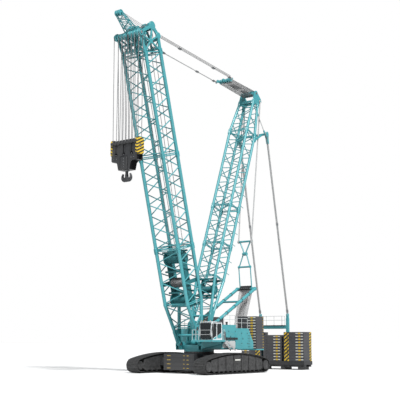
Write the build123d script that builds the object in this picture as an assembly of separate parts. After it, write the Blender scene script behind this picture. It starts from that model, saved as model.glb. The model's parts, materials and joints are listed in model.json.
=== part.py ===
"""Crawler crane with a lattice boom, a lattice derrick mast and a ballast pallet, at full size.

Frame: millimetres, +X forward under the boom, +Y to the left, +Z up. The origin is the
slewing axis at ground level. Every piece is written to parts/NODE.step.
"""

from math import atan2, cos, degrees, hypot, pi, radians, sin, sqrt
import os

from build123d import *

# --- driving dimensions ----------------------------------------------------------------------
SEAT = 0.3  # gap between two fixed pieces that bear on each other
RUN = 0.3  # radial clearance of a pin in its eye
SWING = 12.0  # side clearance between moving pieces

# tracks
TRACK_Y = 4310.0  # centre of a track
SHOE_W = 1500.0
WHEELBASE = 9960.0
WHEEL_Z = 800.0
LOOP_R = 720.0  # outside of the shoes round an end wheel
ARCH_Z = 2110.0  # highest shoe on the upper run
GROUND_RUN = 8000.0
SHOE_COUNT = 76
SHOE_GROOVE = 60.0
GROOVE_DEPTH = 45.0
BAND_T = 170.0
FRAME_W = 1220.0  # track frame over its side plates
SIDE_T = 70.0
FRAME_LOW = 330.0  # underside of the side plates
BEAM_HALF = 300.0  # half the width of the box beam between them
END_PLATE_R = 420.0
END_DRIVE_R = 490.0
END_DRIVE_OUT = 110.0
RIB_SPAN = 6600.0  # first to last upright rib
RIB_COUNT = 6
RIB_T = 90.0
RIB_OUT = 60.0
AXLE_R = 120.0
ROLLER_R = 190.0
ROLLER_AXLE_R = 60.0
ROLLER_COUNT = 11

# car body and slewing ring
CAR_X = 1900.0
CAR_Y = 2600.0
CAR_Z0 = 750.0
CAR_Z1 = 2030.0
WEIGHT_X = 1500.0  # depth of a car body weight
WEIGHT_HALF_Y = 1950.0
WEIGHT_LAYERS = 4
WEIGHT_Z0 = 350.0
WEIGHT_Z1 = 1990.0
RING_R = 1560.0
RING_BORE = 1200.0
RING_H = 160.0

# revolving frame
FRAME_Z0 = 2360.0
FRAME_PLATE_T = 80.0  # floor and lug plates
GIRDER_TOP = 3000.0
STEP_X = -4700.0  # where the wide girders end
TAIL_X = -7500.0
TAIL_Y = (900.0, 1400.0)
FOOT_W = 300.0  # boom foot plate

# boom: along its own axis from the foot pin
BOOM_FOOT = (1500.0, 2950.0)
BOOM_ANGLE = 74.64
BOOM_W = 2912.0  # chord centre to chord centre, across
BOOM_D = 2365.0  # chord centre to chord centre, fore and aft
BOOM_CHORD = 360.0
BOOM_LACE = 140.0
BOOM_TAPER = 4400.0
BOOM_JOINTS = (10100.0, 19600.0)
BOOM_END = 30100.0  # where the head begins; all of the head is measured from here
BOOM_BAY = 1250.0
FOOT_PIN_R = 110.0
HEAD_PLATE_T = 120.0
NOSE_ALONG = BOOM_END + 1870.0
NOSE_OUT = -1600.0
NOSE_HALF = 1770.0
NOSE_PIN_R = 90.0
NOSE_SHEAVE_R = 325.0
STAY_ALONG = BOOM_END + 1500.0
STAY_OUT = 1730.0
STAY_HALF = 990.0
STAY_LUG_T = 120.0
STAY_PIN_R = 60.0
EQUAL_PIN_R = 90.0
STAY_LENGTH = 12950.0  # from the boom's lugs to the equalizer
GUIDE_ALONG = BOOM_END + 2550.0
GUIDE_OUT = 520.0
GUIDE_SHEAVE_R = 350.0
GUIDE_SHAFT_R = 70.0
TIP_ROOT = (BOOM_END + 1800.0, -700.0)
TIP_TOP = (BOOM_END + 4070.0, -2500.0)

# derrick mast
MAST_FOOT = (-195.0, 5000.0)
MAST_ANGLE = 109.99
MAST_W = 2418.0
MAST_D = 1630.0
MAST_CHORD = 300.0
MAST_LACE = 120.0
MAST_TAPER = 5200.0
MAST_JOINTS = (9100.0, 13700.0)
MAST_END = 23300.0
MAST_BAY = 1050.0
MAST_TOP_END = 27300.0  # where the mast's head plates begin
MAST_HEAD = (MAST_TOP_END + 1180.0, -280.0)
MAST_BACK_PIN = (MAST_TOP_END + 600.0, 650.0)
MAST_HEAD_HALF = 960.0
MAST_PIN_R = 90.0
BACK_PIN_R = 90.0
MAST_FOOT_W = 240.0
SPREADER = (MAST_END + 850.0, 2050.0)
SPREADER_HALF = 1900.0
SPREADER_R = 140.0

# live mast and back stays
LIVE_FOOT = (-950.0, 5000.0)
LIVE_HEAD = (-8690.0, 9040.0)
YOKE_LOW = (LIVE_HEAD[0] + 250.0, LIVE_HEAD[1] + 2480.0)
YOKE_PIN = (YOKE_LOW[0] - 100.0, YOKE_LOW[1] + 1480.0)
YOKE_TOP = (YOKE_PIN[0] - 60.0, YOKE_PIN[1] + 1420.0)
YOKE_HALF = 880.0
YOKE_PIN_R = 70.0
LOW_HALF = 790.0  # half the width of the lower yoke
LIVE_SHAFT_R = 100.0
STAY_R = 70.0

# cab
CAB_X = (1670.0, 3430.0)
CAB_Y = (2700.0, 4200.0)
CAB_Z = (3370.0, 5150.0)
CAB_WALL = 60.0
DOOR_GAP = 6.0

# machinery houses and machine counterweight
HOUSE_Y = (1650.0, 3850.0)
HOUSE_X = (-4400.0, -1270.0)
HOUSE_Z = (2450.0, 4560.0)
HOUSE_REAR_Z = 3150.0
UNIT_X = (HOUSE_X[1] + SEAT, 1180.0)
UNIT_Y = 3830.0
UNIT_Z = (2500.0, 4900.0)
CW_X = (-6350.0, -4950.0)
CW_Y = (1450.0, 3880.0)
CW_Z = (2420.0, 5870.0)
CW_LAYERS = 12

# ballast pallet
PALLET_X = (-15600.0, -13900.0)
PALLET_Z = (0.0, 970.0)
SIDE_Y = (1630.0, 4310.0)
CENTRE_Y = 1210.0
LAYER_H = 330.0
SIDE_LAYERS = 10
CENTRE_LAYERS = 9
HANGER = (-14410.0, 6260.0)
HANGER_Y = 1880.0
HANGER_W = 300.0
HANGER_PIN_R = 60.0
BEAM_Z = (4640.0, 5060.0)

# hook block
HOIST_DROP = 11400.0  # from the nose axle to the block's axle
BLOCK_HALF = 1850.0
BLOCK_DEPTH = 565.0
BLOCK_SHEAVE_R = 470.0
BLOCK_PIN_R = 90.0
BLOCK_LOW = 2270.0  # its trunnion's underside below its axle
HOOK_LOW = 700.0  # the hook's middle below that
HORN_R = 330.0
HOOK_T = 240.0
SHANK_R = 150.0

os.makedirs("parts", exist_ok=True)


# --- plain helpers ---------------------------------------------------------------------------
def write(node, *shapes):
    """Write one node; shapes that do not touch stay separate solids in it."""
    solids = [solid for shape in shapes for solid in shape.solids()]
    export_step(solids[0] if len(solids) == 1 else Compound(children=solids), f"parts/{node}.step")


def block(x, y, z):
    """A box from (low, high) pairs."""
    size = [high - low for low, high in (x, y, z)]
    middle = [(high + low) / 2 for low, high in (x, y, z)]
    return Pos(*middle) * Box(*size)


def on_side(side, near, far):
    """The (low, high) pair of a stretch that lies between near and far on one side of the middle."""
    return tuple(sorted((side * near, side * far)))


def slab_xz(points, y0, y1):
    """A plate drawn in X and Z, from y0 to y1."""
    face = make_face(Polyline(*[(x, y0, z) for x, z in points], close=True))
    return extrude(face, amount=y1 - y0, dir=(0, 1, 0))


def rod(start, end, radius):
    """A round bar between two points."""
    start, end = Vector(*start), Vector(*end)
    along = end - start
    return Plane(origin=start, z_dir=along) * Cylinder(
        radius, along.length, align=(Align.CENTER, Align.CENTER, Align.MIN)
    )


def across(x, z, radius, y0, y1):
    """A round bar along Y."""
    return rod((x, y0, z), (x, y1, z), radius)


def bar(start, end, width, height):
    """A square bar between two points in one XZ plane; width is along Y."""
    (x0, y0, z0), (x1, _, z1) = start, end
    length = hypot(x1 - x0, z1 - z0)
    turn = degrees(atan2(z1 - z0, x1 - x0))
    body = Pos(length / 2, 0, 0) * Box(length, width, height)
    return Pos(x0, y0, z0) * Rot(0, -turn, 0) * body


def polar(pin, length, angle):
    """The point at a length and an angle from a pin, in X and Z."""
    return (pin[0] + length * cos(radians(angle)), pin[1] + length * sin(radians(angle)))


class Strut:
    """The own frame of a boom or mast: u along it, y across, n towards its upper side."""

    def __init__(self, foot, angle):
        self.foot, self.angle = foot, angle
        self.place = Pos(foot[0], 0, foot[1]) * Rot(0, -angle, 0)

    def at(self, u, n):
        """A point of the machine's XZ plane from lengths along and off the axis."""
        x, z = polar(self.foot, u, self.angle)
        return (x - n * sin(radians(self.angle)), z + n * cos(radians(self.angle)))


BOOM = Strut(BOOM_FOOT, BOOM_ANGLE)
MAST = Strut(MAST_FOOT, MAST_ANGLE)


# --- lattice ---------------------------------------------------------------------------------
def lacing(length, half0, half1, bay, width):
    """The outline of a zigzag lacing with a cross bar at each end, drawn along X about Y = 0.

    half0 and half1 are its half heights at the two ends. Its tips are as wide as the bar.
    """
    start, stop = 1.6 * width, length - 1.6 * width
    count = max(2, round((stop - start) / bay))
    pitch = (stop - start) / count
    foot = width / 2 * hypot(1, pitch / (half0 + half1))  # half the length of a tip

    def half(s):
        return half0 + (half1 - half0) * s / length

    upper, lower = [], []
    for i in range(count + 1):
        s, sign = start + i * pitch, 1 if i % 2 else -1
        tip = sign * half(s)
        inner = tip - sign * foot * 2 * half(s) / pitch
        left, right = (s - foot, tip), (s + foot, tip)
        (upper if sign > 0 else lower).extend([left, right])
        (lower if sign > 0 else upper).append((s, inner))
    web = make_face(Polyline(*upper, *reversed(lower), close=True))
    ends = []
    for s in (0.7 * width, length - 0.7 * width):
        ends.append(Pos(s, 0) * Rectangle(width, 2 * half(s)))
    return web, ends


def panel(start, end, half0, half1, normal, bay, width):
    """A flat laced side between two chords, centred on the line from start to end."""
    start, end = Vector(*start), Vector(*end)
    along = end - start
    web, ends = lacing(along.length, half0, half1, bay, width)
    plane = Plane(origin=start, x_dir=along, z_dir=Vector(*normal))
    pieces = [extrude(plane * face, amount=width / 2, both=True) for face in (web, *ends)]
    return [solid for piece in pieces for solid in piece.solids()]


def lattice(u0, u1, wide0, wide1, deep0, deep1, radius, bay, width):
    """Chords and laced sides of one section, in a strut's own frame, cut square at both ends."""
    chords, pieces = [], []
    lean, slope = (deep1 - deep0) / 2 / (u1 - u0), (wide1 - wide0) / 2 / (u1 - u0)
    over = radius * (abs(lean) + abs(slope))  # how far a leaning chord is cut back
    for sy in (-1, 1):
        for sn in (-1, 1):
            low = (u0 - over, sy * (wide0 / 2 - slope * over), sn * (deep0 / 2 - lean * over))
            high = (u1 + over, sy * (wide1 / 2 + slope * over), sn * (deep1 / 2 + lean * over))
            chords.append(rod(low, high, radius))
    if over:
        keep = block((u0, u1), (-wide0, wide0), (-deep0, deep0))
        chords = [tube & keep for tube in chords]
    clear = radius + SEAT
    for side in (-1, 1):
        pieces += panel(
            (u0, side * wide0 / 2, 0), (u1, side * wide1 / 2, 0), deep0 / 2 - clear, deep1 / 2 - clear,
            (side * slope, -1, 0), bay, width,
        )
        pieces += panel(
            (u0, 0, side * deep0 / 2), (u1, 0, side * deep1 / 2), wide0 / 2 - clear, wide1 / 2 - clear,
            (-side * lean, 0, 1), bay, width,
        )
    return chords + pieces


# --- tracks ----------------------------------------------------------------------------------
def loop_outline(inset, steps=14):
    """The track's path as points, this far inside the outside of the shoes."""
    half, drop = WHEELBASE / 2, ARCH_Z - WHEEL_Z
    arch = (half**2 + (drop - LOOP_R) * (drop + LOOP_R)) / (2 * (drop - LOOP_R))
    arch_z = ARCH_Z - arch  # centre of the upper run's arc
    lean = atan2(half, WHEEL_Z - arch_z)  # where the arc meets an end wheel
    ramp_x = GROUND_RUN / 2
    to_wheel = atan2(WHEEL_Z, half - ramp_x)
    reach = hypot(WHEEL_Z, half - ramp_x)
    down = -pi / 2 + (to_wheel - atan2(LOOP_R, sqrt(reach**2 - LOOP_R**2)))  # ramp's tangent
    right = [((arch - inset) * sin(lean * i / steps), arch_z + (arch - inset) * cos(lean * i / steps))
             for i in range(steps)]
    for i in range(steps + 1):
        turn = (pi / 2 - lean) + (down - pi / 2 + lean) * i / steps
        right.append((half + (LOOP_R - inset) * cos(turn), WHEEL_Z + (LOOP_R - inset) * sin(turn)))
    right.append((ramp_x - inset * (down + pi / 2) / 2, inset))
    left = [(-x, z) for x, z in reversed(right)]
    return right + left[:-1]


def along_path(points, count):
    """Evenly spaced places on a closed path, each with its direction."""
    closed = points + points[:1]
    lengths = [hypot(b[0] - a[0], b[1] - a[1]) for a, b in zip(closed, closed[1:])]
    step, total, index, places = sum(lengths) / count, 0.0, 0, []
    for k in range(count):
        while total + lengths[index] < k * step:
            total += lengths[index]
            index += 1
        (x0, z0), (x1, z1) = closed[index], closed[index + 1]
        share = (k * step - total) / lengths[index]
        places.append((x0 + (x1 - x0) * share, z0 + (z1 - z0) * share,
                       (x1 - x0) / lengths[index], (z1 - z0) / lengths[index]))
    return places, step


def track_loop(side):
    """One closed chain of shoes, with a groove between each two shoes."""
    places, step = along_path(loop_outline(0), SHOE_COUNT)
    outline = []
    half = SHOE_GROOVE / 2
    for x, z, dx, dz in places:
        for ahead, depth in ((-half, 0), (-half, GROOVE_DEPTH), (half, GROOVE_DEPTH), (half, 0)):
            outline.append((x + dx * ahead + dz * depth, max(0, z + dz * ahead - dx * depth)))
    y0, y1 = side * TRACK_Y - SHOE_W / 2, side * TRACK_Y + SHOE_W / 2
    return slab_xz(outline, y0, y1) - slab_xz(loop_outline(BAND_T), y0 - 1, y1 + 1)


def frame_outline(inset, bottom, end_x):
    """The frame's side outline: its top follows the chain's upper run."""
    top = [(x, z) for x, z in loop_outline(inset) if z > WHEEL_Z and abs(x) < end_x]
    top.sort(reverse=True)
    rise = (WHEEL_Z - bottom) / 2  # the lower corners clear the end wheels' chain
    corner = end_x - 2 * rise
    return [(-end_x, bottom + rise), (-corner, bottom), (corner, bottom), (end_x, bottom + rise)] + top


def track_frame(side):
    """Side plates that carry the wheels, a box beam between them, ribs outside and the end drives."""
    y, roller_z = side * TRACK_Y, BAND_T + SEAT + ROLLER_R
    y0, y1 = y - FRAME_W / 2, y + FRAME_W / 2
    beam_end = WHEELBASE / 2 - LOOP_R - 60
    beam = frame_outline(BAND_T + SEAT, BAND_T + 2 * ROLLER_R + 40, beam_end)
    body = slab_xz(beam, y - BEAM_HALF, y + BEAM_HALF)
    side_outline = frame_outline(BAND_T + 90, FRAME_LOW, WHEELBASE / 2 - 300)
    plate = slab_xz(side_outline, 0, SIDE_T)
    for x in (-WHEELBASE / 2, WHEELBASE / 2):
        plate += across(x, WHEEL_Z, END_PLATE_R, 0, SIDE_T)
    for low in (y0, y1 - SIDE_T):
        body += Pos(0, low, 0) * plate
    outer = TRACK_Y + FRAME_W / 2
    rib_y = on_side(side, outer, outer + RIB_OUT)
    for i in range(RIB_COUNT):
        x = (i / (RIB_COUNT - 1) - 0.5) * RIB_SPAN
        rib_x = (x - RIB_T / 2, x + RIB_T / 2)
        body += block(rib_x, rib_y, (FRAME_LOW, ARCH_Z)) & slab_xz(side_outline, *rib_y)
        body += block(rib_x, (y0, y1), (BAND_T + 2 * ROLLER_R + 100, 1500))
    for x in (-WHEELBASE / 2, WHEELBASE / 2):
        body += across(x, WHEEL_Z, END_DRIVE_R, *on_side(side, outer, outer + END_DRIVE_OUT))
        body += across(x, WHEEL_Z, AXLE_R, y0, y1)
    for i in range(ROLLER_COUNT):
        body += across(roller_x(i), roller_z, ROLLER_AXLE_R, y0, y1)
    return body


def roller_x(i):
    """Where a bottom roller stands."""
    return (i / (ROLLER_COUNT - 1) - 0.5) * (GROUND_RUN - 300)


def ring_y(x, z, outer, bore, y0, y1):
    """A round ring along Y."""
    return across(x, z, outer, y0, y1) - across(x, z, bore, y0 - 1, y1 + 1)


def track_wheels(side):
    """Idler, drive wheel and bottom rollers on their fixed axles."""
    y, half, roller_z = side * TRACK_Y, FRAME_W / 2 - SIDE_T - SEAT, BAND_T + SEAT + ROLLER_R
    wheels = []
    for x in (-WHEELBASE / 2, WHEELBASE / 2):
        wheel = ring_y(x, WHEEL_Z, LOOP_R - BAND_T - 5, AXLE_R + SEAT, y - 260, y + 260)
        wheels.append(wheel + ring_y(x, WHEEL_Z, 260, AXLE_R + SEAT, y - half, y + half))
    for i in range(ROLLER_COUNT):
        wheels.append(ring_y(roller_x(i), roller_z, ROLLER_R, ROLLER_AXLE_R + SEAT, y - half, y + half))
    return wheels


for side, name in ((1, "left"), (-1, "right")):
    write(f"track_{name}", track_loop(side))
    write(f"track_frame_{name}", track_frame(side))
    write(f"track_wheels_{name}", *track_wheels(side))

# --- car body --------------------------------------------------------------------------------
frame_in = TRACK_Y - FRAME_W / 2 - SEAT
car_body = block((-CAR_X, CAR_X), (-CAR_Y, CAR_Y), (CAR_Z0, CAR_Z1 - 180))
car_body += Pos(0, 0, (CAR_Z0 + CAR_Z1) / 2) * Cylinder(RING_R + 120, CAR_Z1 - CAR_Z0)
for x in (-CAR_X, CAR_X - 850):
    car_body += block((x, x + 850), (-frame_in, frame_in), (CAR_Z0, CAR_Z1 - 480))
for front in (-1, 1):
    wall = on_side(front, CAR_X - 220, CAR_X)
    shelf = on_side(front, CAR_X - 220, CAR_X + WEIGHT_X - 20)
    car_body += block(wall, (-1500, 1500), (WEIGHT_Z0 - 60, CAR_Z1 - 200))
    for y in (-1000, 1000):
        car_body += block(shelf, (y - 200, y + 200), (WEIGHT_Z0 - 60, WEIGHT_Z0 - SEAT))
car_body -= Pos(0, 0, CAR_Z0) * Cylinder(RING_BORE - 200, 4000)
write("car_body", car_body)


def stack(outline, z0, layer, count, gap=SEAT, edge=18):
    """Slabs of one outline, each with a bevel round its upper edge and a seat's gap between."""
    face = make_face(Polyline(*[(x, y, 0) for x, y in outline], close=True))
    slab = extrude(face, amount=layer - gap, dir=(0, 0, 1))
    slab = chamfer(slab.faces().sort_by(Axis.Z)[-1].edges(), edge)
    return [Pos(0, 0, z0 + i * layer) * slab for i in range(count)]


def rectangle(x, y):
    """The corners of a rectangle from (low, high) pairs."""
    return [(x[0], y[0]), (x[1], y[0]), (x[1], y[1]), (x[0], y[1])]


weights = []
for front in (-1, 1):
    outline = rectangle(on_side(front, CAR_X + SEAT, CAR_X + WEIGHT_X), (-WEIGHT_HALF_Y, WEIGHT_HALF_Y))
    weights += stack(outline, WEIGHT_Z0, (WEIGHT_Z1 - WEIGHT_Z0) / WEIGHT_LAYERS, WEIGHT_LAYERS)
write("car_body_weights", *weights)


def ring(outer, bore, z0, z1):
    """A flat ring round the slewing axis."""
    middle, height = (z0 + z1) / 2, z1 - z0
    return Pos(0, 0, middle) * (Cylinder(outer, height) - Cylinder(bore, height + 2))


ring_top = CAR_Z1 + SEAT + RING_H
write("slew_ring", ring(RING_R, RING_BORE, CAR_Z1 + SEAT, ring_top))

# --- revolving frame -------------------------------------------------------------------------
foot_y = BOOM_W / 2
lug_in = foot_y - FOOT_W / 2 - SWING
lug_out = foot_y + FOOT_W / 2 + SWING
FOOT_LUG = [(BOOM_FOOT[0] - 600, FRAME_Z0), (BOOM_FOOT[0] + 250, FRAME_Z0), (BOOM_FOOT[0] + 300, BOOM_FOOT[1]),
            (BOOM_FOOT[0] - 300, BOOM_FOOT[1] + 250), (BOOM_FOOT[0] - 600, BOOM_FOOT[1] + 250)]

frame = ring(RING_R, RING_BORE, ring_top + SEAT, FRAME_Z0 + 40)
frame += block((-1700, 1240), (-lug_out, lug_out), (FRAME_Z0, FRAME_Z0 + FRAME_PLATE_T))
for side in (-1, 1):
    girder_y = on_side(side, lug_in - FRAME_PLATE_T, lug_out + FRAME_PLATE_T)
    frame += block((STEP_X, BOOM_FOOT[0] - 350), girder_y, (FRAME_Z0, GIRDER_TOP))
    frame += block((TAIL_X, STEP_X + 300), on_side(side, *TAIL_Y), (FRAME_Z0, GIRDER_TOP))
    for inner in (lug_in - FRAME_PLATE_T, lug_out):
        lug = slab_xz(FOOT_LUG, 0, FRAME_PLATE_T) + across(*BOOM_FOOT, 260, 0, FRAME_PLATE_T)
        y0 = side * inner if side > 0 else side * (inner + FRAME_PLATE_T)
        frame += Pos(0, y0, 0) * lug
    frame -= across(*BOOM_FOOT, FOOT_PIN_R + RUN, *on_side(side, 900, 2000))
for x in (TAIL_X + 150, STEP_X + 150, -1800, 950):
    half = TAIL_Y[0] + 40 if x < STEP_X + 200 else lug_in - FRAME_PLATE_T + 20
    frame += block((x - 150, x + 150), (-half, half), (FRAME_Z0, GIRDER_TOP - 120))
frame += block((STEP_X + 200, -1600), (-lug_in, lug_in), (FRAME_Z0, FRAME_Z0 + FRAME_PLATE_T))
for side in (-1, 1):
    frame += block(CW_X, on_side(side, TAIL_Y[1] - 20, CW_Y[1]), (FRAME_Z0 - 60, CW_Z[0] - SEAT))
write("revolving_frame", frame)

pins = []
for side in (-1, 1):
    y0, y1 = on_side(side, lug_in - FRAME_PLATE_T - SWING, lug_out + FRAME_PLATE_T + SWING)
    pin = across(*BOOM_FOOT, FOOT_PIN_R, y0, y1)
    for low in (y0 - 40, y1):
        pin += across(*BOOM_FOOT, FOOT_PIN_R + 50, low, low + 40)
    pins.append(pin)
write("boom_foot_pins", *pins)

# --- mast bracket ----------------------------------------------------------------------------
bracket_in = MAST_W / 2 - MAST_FOOT_W / 2 - SWING
bracket_out = MAST_W / 2 + MAST_FOOT_W / 2 + SWING
brackets = []
for side in (-1, 1):
    base_y = on_side(side, bracket_in - FRAME_PLATE_T, bracket_out + FRAME_PLATE_T)
    base = block((-1750, 450), base_y, (GIRDER_TOP + SEAT, 3220))
    for inner in (bracket_in - FRAME_PLATE_T, bracket_out):
        cheek = slab_xz([(-1700, 3100), (400, 3100), (120, 5000), (-1250, 5000)], 0, FRAME_PLATE_T)
        cheek += across(*MAST_FOOT, 300, 0, FRAME_PLATE_T) + across(*LIVE_FOOT, 290, 0, FRAME_PLATE_T)
        cheek -= slab_xz([(-1000, 3500), (-300, 3500), (-450, 4500), (-850, 4500)], -1, FRAME_PLATE_T + 1)
        base += Pos(0, side * inner if side > 0 else side * (inner + FRAME_PLATE_T), 0) * cheek
    for pin in (MAST_FOOT, LIVE_FOOT):
        base += across(*pin, MAST_PIN_R, *base_y)
    brackets.append(base)
tie = across(-650, 3350, 120, -(bracket_in - FRAME_PLATE_T / 2), bracket_in - FRAME_PLATE_T / 2)
write("mast_bracket", brackets[0] + brackets[1] + tie)


# --- winches ---------------------------------------------------------------------------------
DRUM_HALF = 900.0


def winch(x, z, half, drum, flange, foot_z):
    """A grooved drum between two bearing plates that stand on the frame."""
    body = across(x, z, drum, -half, half)
    for y in (-half, half - 40):
        body += across(x, z, flange, y, y + 40)
    for y in (-half - 90, half + 20):
        stand = [(x - flange, foot_z), (x + flange, foot_z), (x + 0.5 * flange, z), (x - 0.5 * flange, z)]
        body += across(x, z, 0.55 * flange, y, y + 70) + slab_xz(stand, y, y + 70)
    return body + across(x, z, 90, -half - 60, half + 60)


deck_z = FRAME_Z0 + FRAME_PLATE_T + SEAT
WINCHES = (  # x, z, drum radius, flange radius, what it stands on
    (-2600, 3200, 400, 560, deck_z),
    (-3800, 3200, 400, 560, deck_z),
    (-6950, GIRDER_TOP + 450, 330, 430, GIRDER_TOP + SEAT),
)
write("winches", *[winch(x, z, DRUM_HALF, drum, flange, foot) for x, z, drum, flange, foot in WINCHES])

# --- houses ----------------------------------------------------------------------------------
WALL = 60.0
DOOR_RECESS = 12.0
LOUVRE_DEPTH = 25.0
LOUVRES = 9


def house(outline, y0, y1):
    """A closed house on its sheet walls, open underneath."""
    body = slab_xz(outline, y0, y1)
    xs, zs = [x for x, _ in outline], [z for _, z in outline]
    cx, cz = (max(xs) + min(xs)) / 2, (max(zs) + min(zs)) / 2
    share_x, share_z = 1 - 2 * WALL / (max(xs) - min(xs)), 1 - 2 * WALL / (max(zs) - min(zs))
    inner = []
    for x, z in outline:
        open_below = WALL + 5 if z < cz else 0
        inner.append((cx + (x - cx) * share_x, cz + (z - cz) * share_z - open_below))
    return body - slab_xz(inner, y0 + WALL, y1 - WALL)


def sheet_doors(body, side, face, spans, height):
    """Doors pressed into a house's outer wall, the first one louvred."""
    recess = on_side(side, face - DOOR_RECESS, face + 1)
    slots = on_side(side, face - DOOR_RECESS - LOUVRE_DEPTH, face)
    for x0, x1 in spans:
        body -= block((x0, x1), recess, height)
    x0, x1 = spans[0]
    for i in range(LOUVRES):
        z = height[0] + (i + 1) * (height[1] - height[0]) / (LOUVRES + 1)
        body -= block((x0 + 90, x1 - 90), slots, (z - 35, z + 35))
    return body


house_in = lug_out + FRAME_PLATE_T + SEAT
side_outline = [(HOUSE_X[0], HOUSE_Z[0]), (HOUSE_X[1], HOUSE_Z[0]), (HOUSE_X[1], HOUSE_Z[1]),
                (HOUSE_X[0] + 900, HOUSE_Z[1]), (HOUSE_X[0], HOUSE_REAR_Z)]
house_doors = [(HOUSE_X[0] + shift, HOUSE_X[0] + shift + 900) for shift in (2100, 1100)]
for side, name in ((1, "left"), (-1, "right")):
    body = house(side_outline, *on_side(side, house_in, HOUSE_Y[1]))
    body = sheet_doors(body, side, HOUSE_Y[1], house_doors, (HOUSE_Z[0] + 200, HOUSE_Z[1] - 160))
    write(f"house_{name}", body)
unit_outline = [(UNIT_X[0], UNIT_Z[0]), (UNIT_X[1], UNIT_Z[0]), (UNIT_X[1], UNIT_Z[1] - 600),
                (UNIT_X[1] - 400, UNIT_Z[1]), (UNIT_X[0], UNIT_Z[1])]
unit = house(unit_outline, house_in, UNIT_Y)
unit_doors = [(UNIT_X[0] + shift, UNIT_X[0] + shift + 1050) for shift in (120, 1270)]
write("power_unit", sheet_doors(unit, 1, UNIT_Y, unit_doors, (UNIT_Z[0] + 250, UNIT_Z[1] - 700)))

# --- cab deck, ladder and rails --------------------------------------------------------------
DECK_X = (1230.0, 3500.0)
DECK_Y = (house_in + 12, 4300.0)
DECK_Z = (3200.0, CAB_Z[0] - SEAT)
deck = block(DECK_X, DECK_Y, DECK_Z)
for x in (DECK_X[0] + 10, DECK_X[0] + 450):
    arm = [(house_in, DECK_Z[0] - 700), (DECK_Y[1] - 200, DECK_Z[0] - 200), (DECK_Y[1] - 200, DECK_Z[0] + 20),
           (house_in, DECK_Z[0] + 20)]
    arm_face = make_face(Polyline(*[(x, y, z) for y, z in arm], close=True))
    deck += extrude(arm_face, amount=90, dir=(1, 0, 0))
write("cab_deck", deck)
write("cab_cabinet", block((1900, 3300), (2080, CAB_Y[0] - SEAT), (DECK_Z[1] + SEAT, 4850)))

LADDER_Y = (3900.0, 4480.0)
TREADS = 5
ladder_top, ladder_foot = (DECK_X[0] - SEAT, DECK_Z[1] - 60), (-250.0, 2330.0)
ladder_run, ladder_rise = ladder_top[0] - ladder_foot[0], ladder_top[1] - ladder_foot[1]
sill_y, sill_z = (LADDER_Y[0] - 60, DECK_Y[1] - 10), (DECK_Z[0] - 30, DECK_Z[1])
ladder = block((ladder_top[0] - 110, ladder_top[0]), sill_y, sill_z)
for y in LADDER_Y:
    ladder += bar((ladder_foot[0], y, ladder_foot[1]), (ladder_top[0] - 40, y, ladder_top[1] - 60), 40, 160)
for i in range(TREADS):
    share = (i + 0.5) / (TREADS + 0.4)
    x, z = ladder_foot[0] + ladder_run * share, ladder_foot[1] + ladder_rise * share
    ladder += block((x - 90, x + 90), LADDER_Y, (z - 25, z + 15))
write("access_ladder", ladder)


def railing(points, height, post=50, rail=40):
    """Posts at the given places (x, y, z of their feet) with two rails between neighbours."""
    body = None
    for x, y, z in points:
        upright = block((x - post / 2, x + post / 2), (y - post / 2, y + post / 2), (z, z + height))
        body = upright if body is None else body + upright
    for (x0, y0, z0), (x1, y1, _) in zip(points, points[1:]):
        for up in (height * 0.55, height - rail / 2):
            xs, ys = sorted((x0, x1)), sorted((y0, y1))
            body += block((xs[0] - rail / 2, xs[1] + rail / 2), (ys[0] - rail / 2, ys[1] + rail / 2),
                          (z0 + up - rail / 2, z0 + up + rail / 2))
    return body


roof = HOUSE_Z[1] + SEAT
rail_x = (HOUSE_X[0] + 1000, HOUSE_X[0] + 2050, HOUSE_X[1] - 60)
rails = []
for side in (-1, 1):
    rails.append(railing([(x, side * (HOUSE_Y[1] - 60), roof) for x in rail_x], 1050))
unit_posts = (UNIT_X[0] + 80, (UNIT_X[0] + UNIT_X[1]) / 2 - 250, UNIT_X[1] - 460)
rails.append(railing([(x, UNIT_Y - 60, UNIT_Z[1] + SEAT) for x in unit_posts], 1000))
write("walkway_rails", *rails)

# --- machine counterweight -------------------------------------------------------------------
for side, name in ((1, "left"), (-1, "right")):
    outline = rectangle(CW_X, on_side(side, *CW_Y))
    write(f"counterweight_{name}", *stack(outline, CW_Z[0], (CW_Z[1] - CW_Z[0]) / CW_LAYERS, CW_LAYERS))

# --- cab -------------------------------------------------------------------------------------
cab_outline = [(CAB_X[0], CAB_Z[0]), (CAB_X[1] - 250, CAB_Z[0]), (CAB_X[1], CAB_Z[0] + 420),
               (CAB_X[1], CAB_Z[1] - 650), (CAB_X[1] - 130, CAB_Z[1]), (CAB_X[0], CAB_Z[1])]
inner_outline = [(CAB_X[0] + CAB_WALL, CAB_Z[0] + CAB_WALL), (CAB_X[1] - 290, CAB_Z[0] + CAB_WALL),
                 (CAB_X[1] - CAB_WALL, CAB_Z[0] + 435), (CAB_X[1] - CAB_WALL, CAB_Z[1] - 645),
                 (CAB_X[1] - 180, CAB_Z[1] - CAB_WALL), (CAB_X[0] + CAB_WALL, CAB_Z[1] - CAB_WALL)]
DOOR_X = (CAB_X[0] + 130, CAB_X[0] + 900)
DOOR_Z = (CAB_Z[0] + 110, CAB_Z[1] - 110)
SIDE_PANE = [(DOOR_X[1] + 120, CAB_Z[0] + 750), (CAB_X[1] - 120, CAB_Z[0] + 590),
             (CAB_X[1] - 120, CAB_Z[1] - 630), (CAB_X[1] - 220, CAB_Z[1] - 140), (DOOR_X[1] + 120, CAB_Z[1] - 140)]
DOOR_PANE = [(DOOR_X[0] + 110, DOOR_Z[0] + 840), (DOOR_X[1] - 110, DOOR_Z[0] + 700),
             (DOOR_X[1] - 110, DOOR_Z[1] - 60), (DOOR_X[0] + 110, DOOR_Z[1] - 60)]
FRONT_Y = (CAB_Y[0] + 110, CAB_Y[1] - 110)
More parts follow.
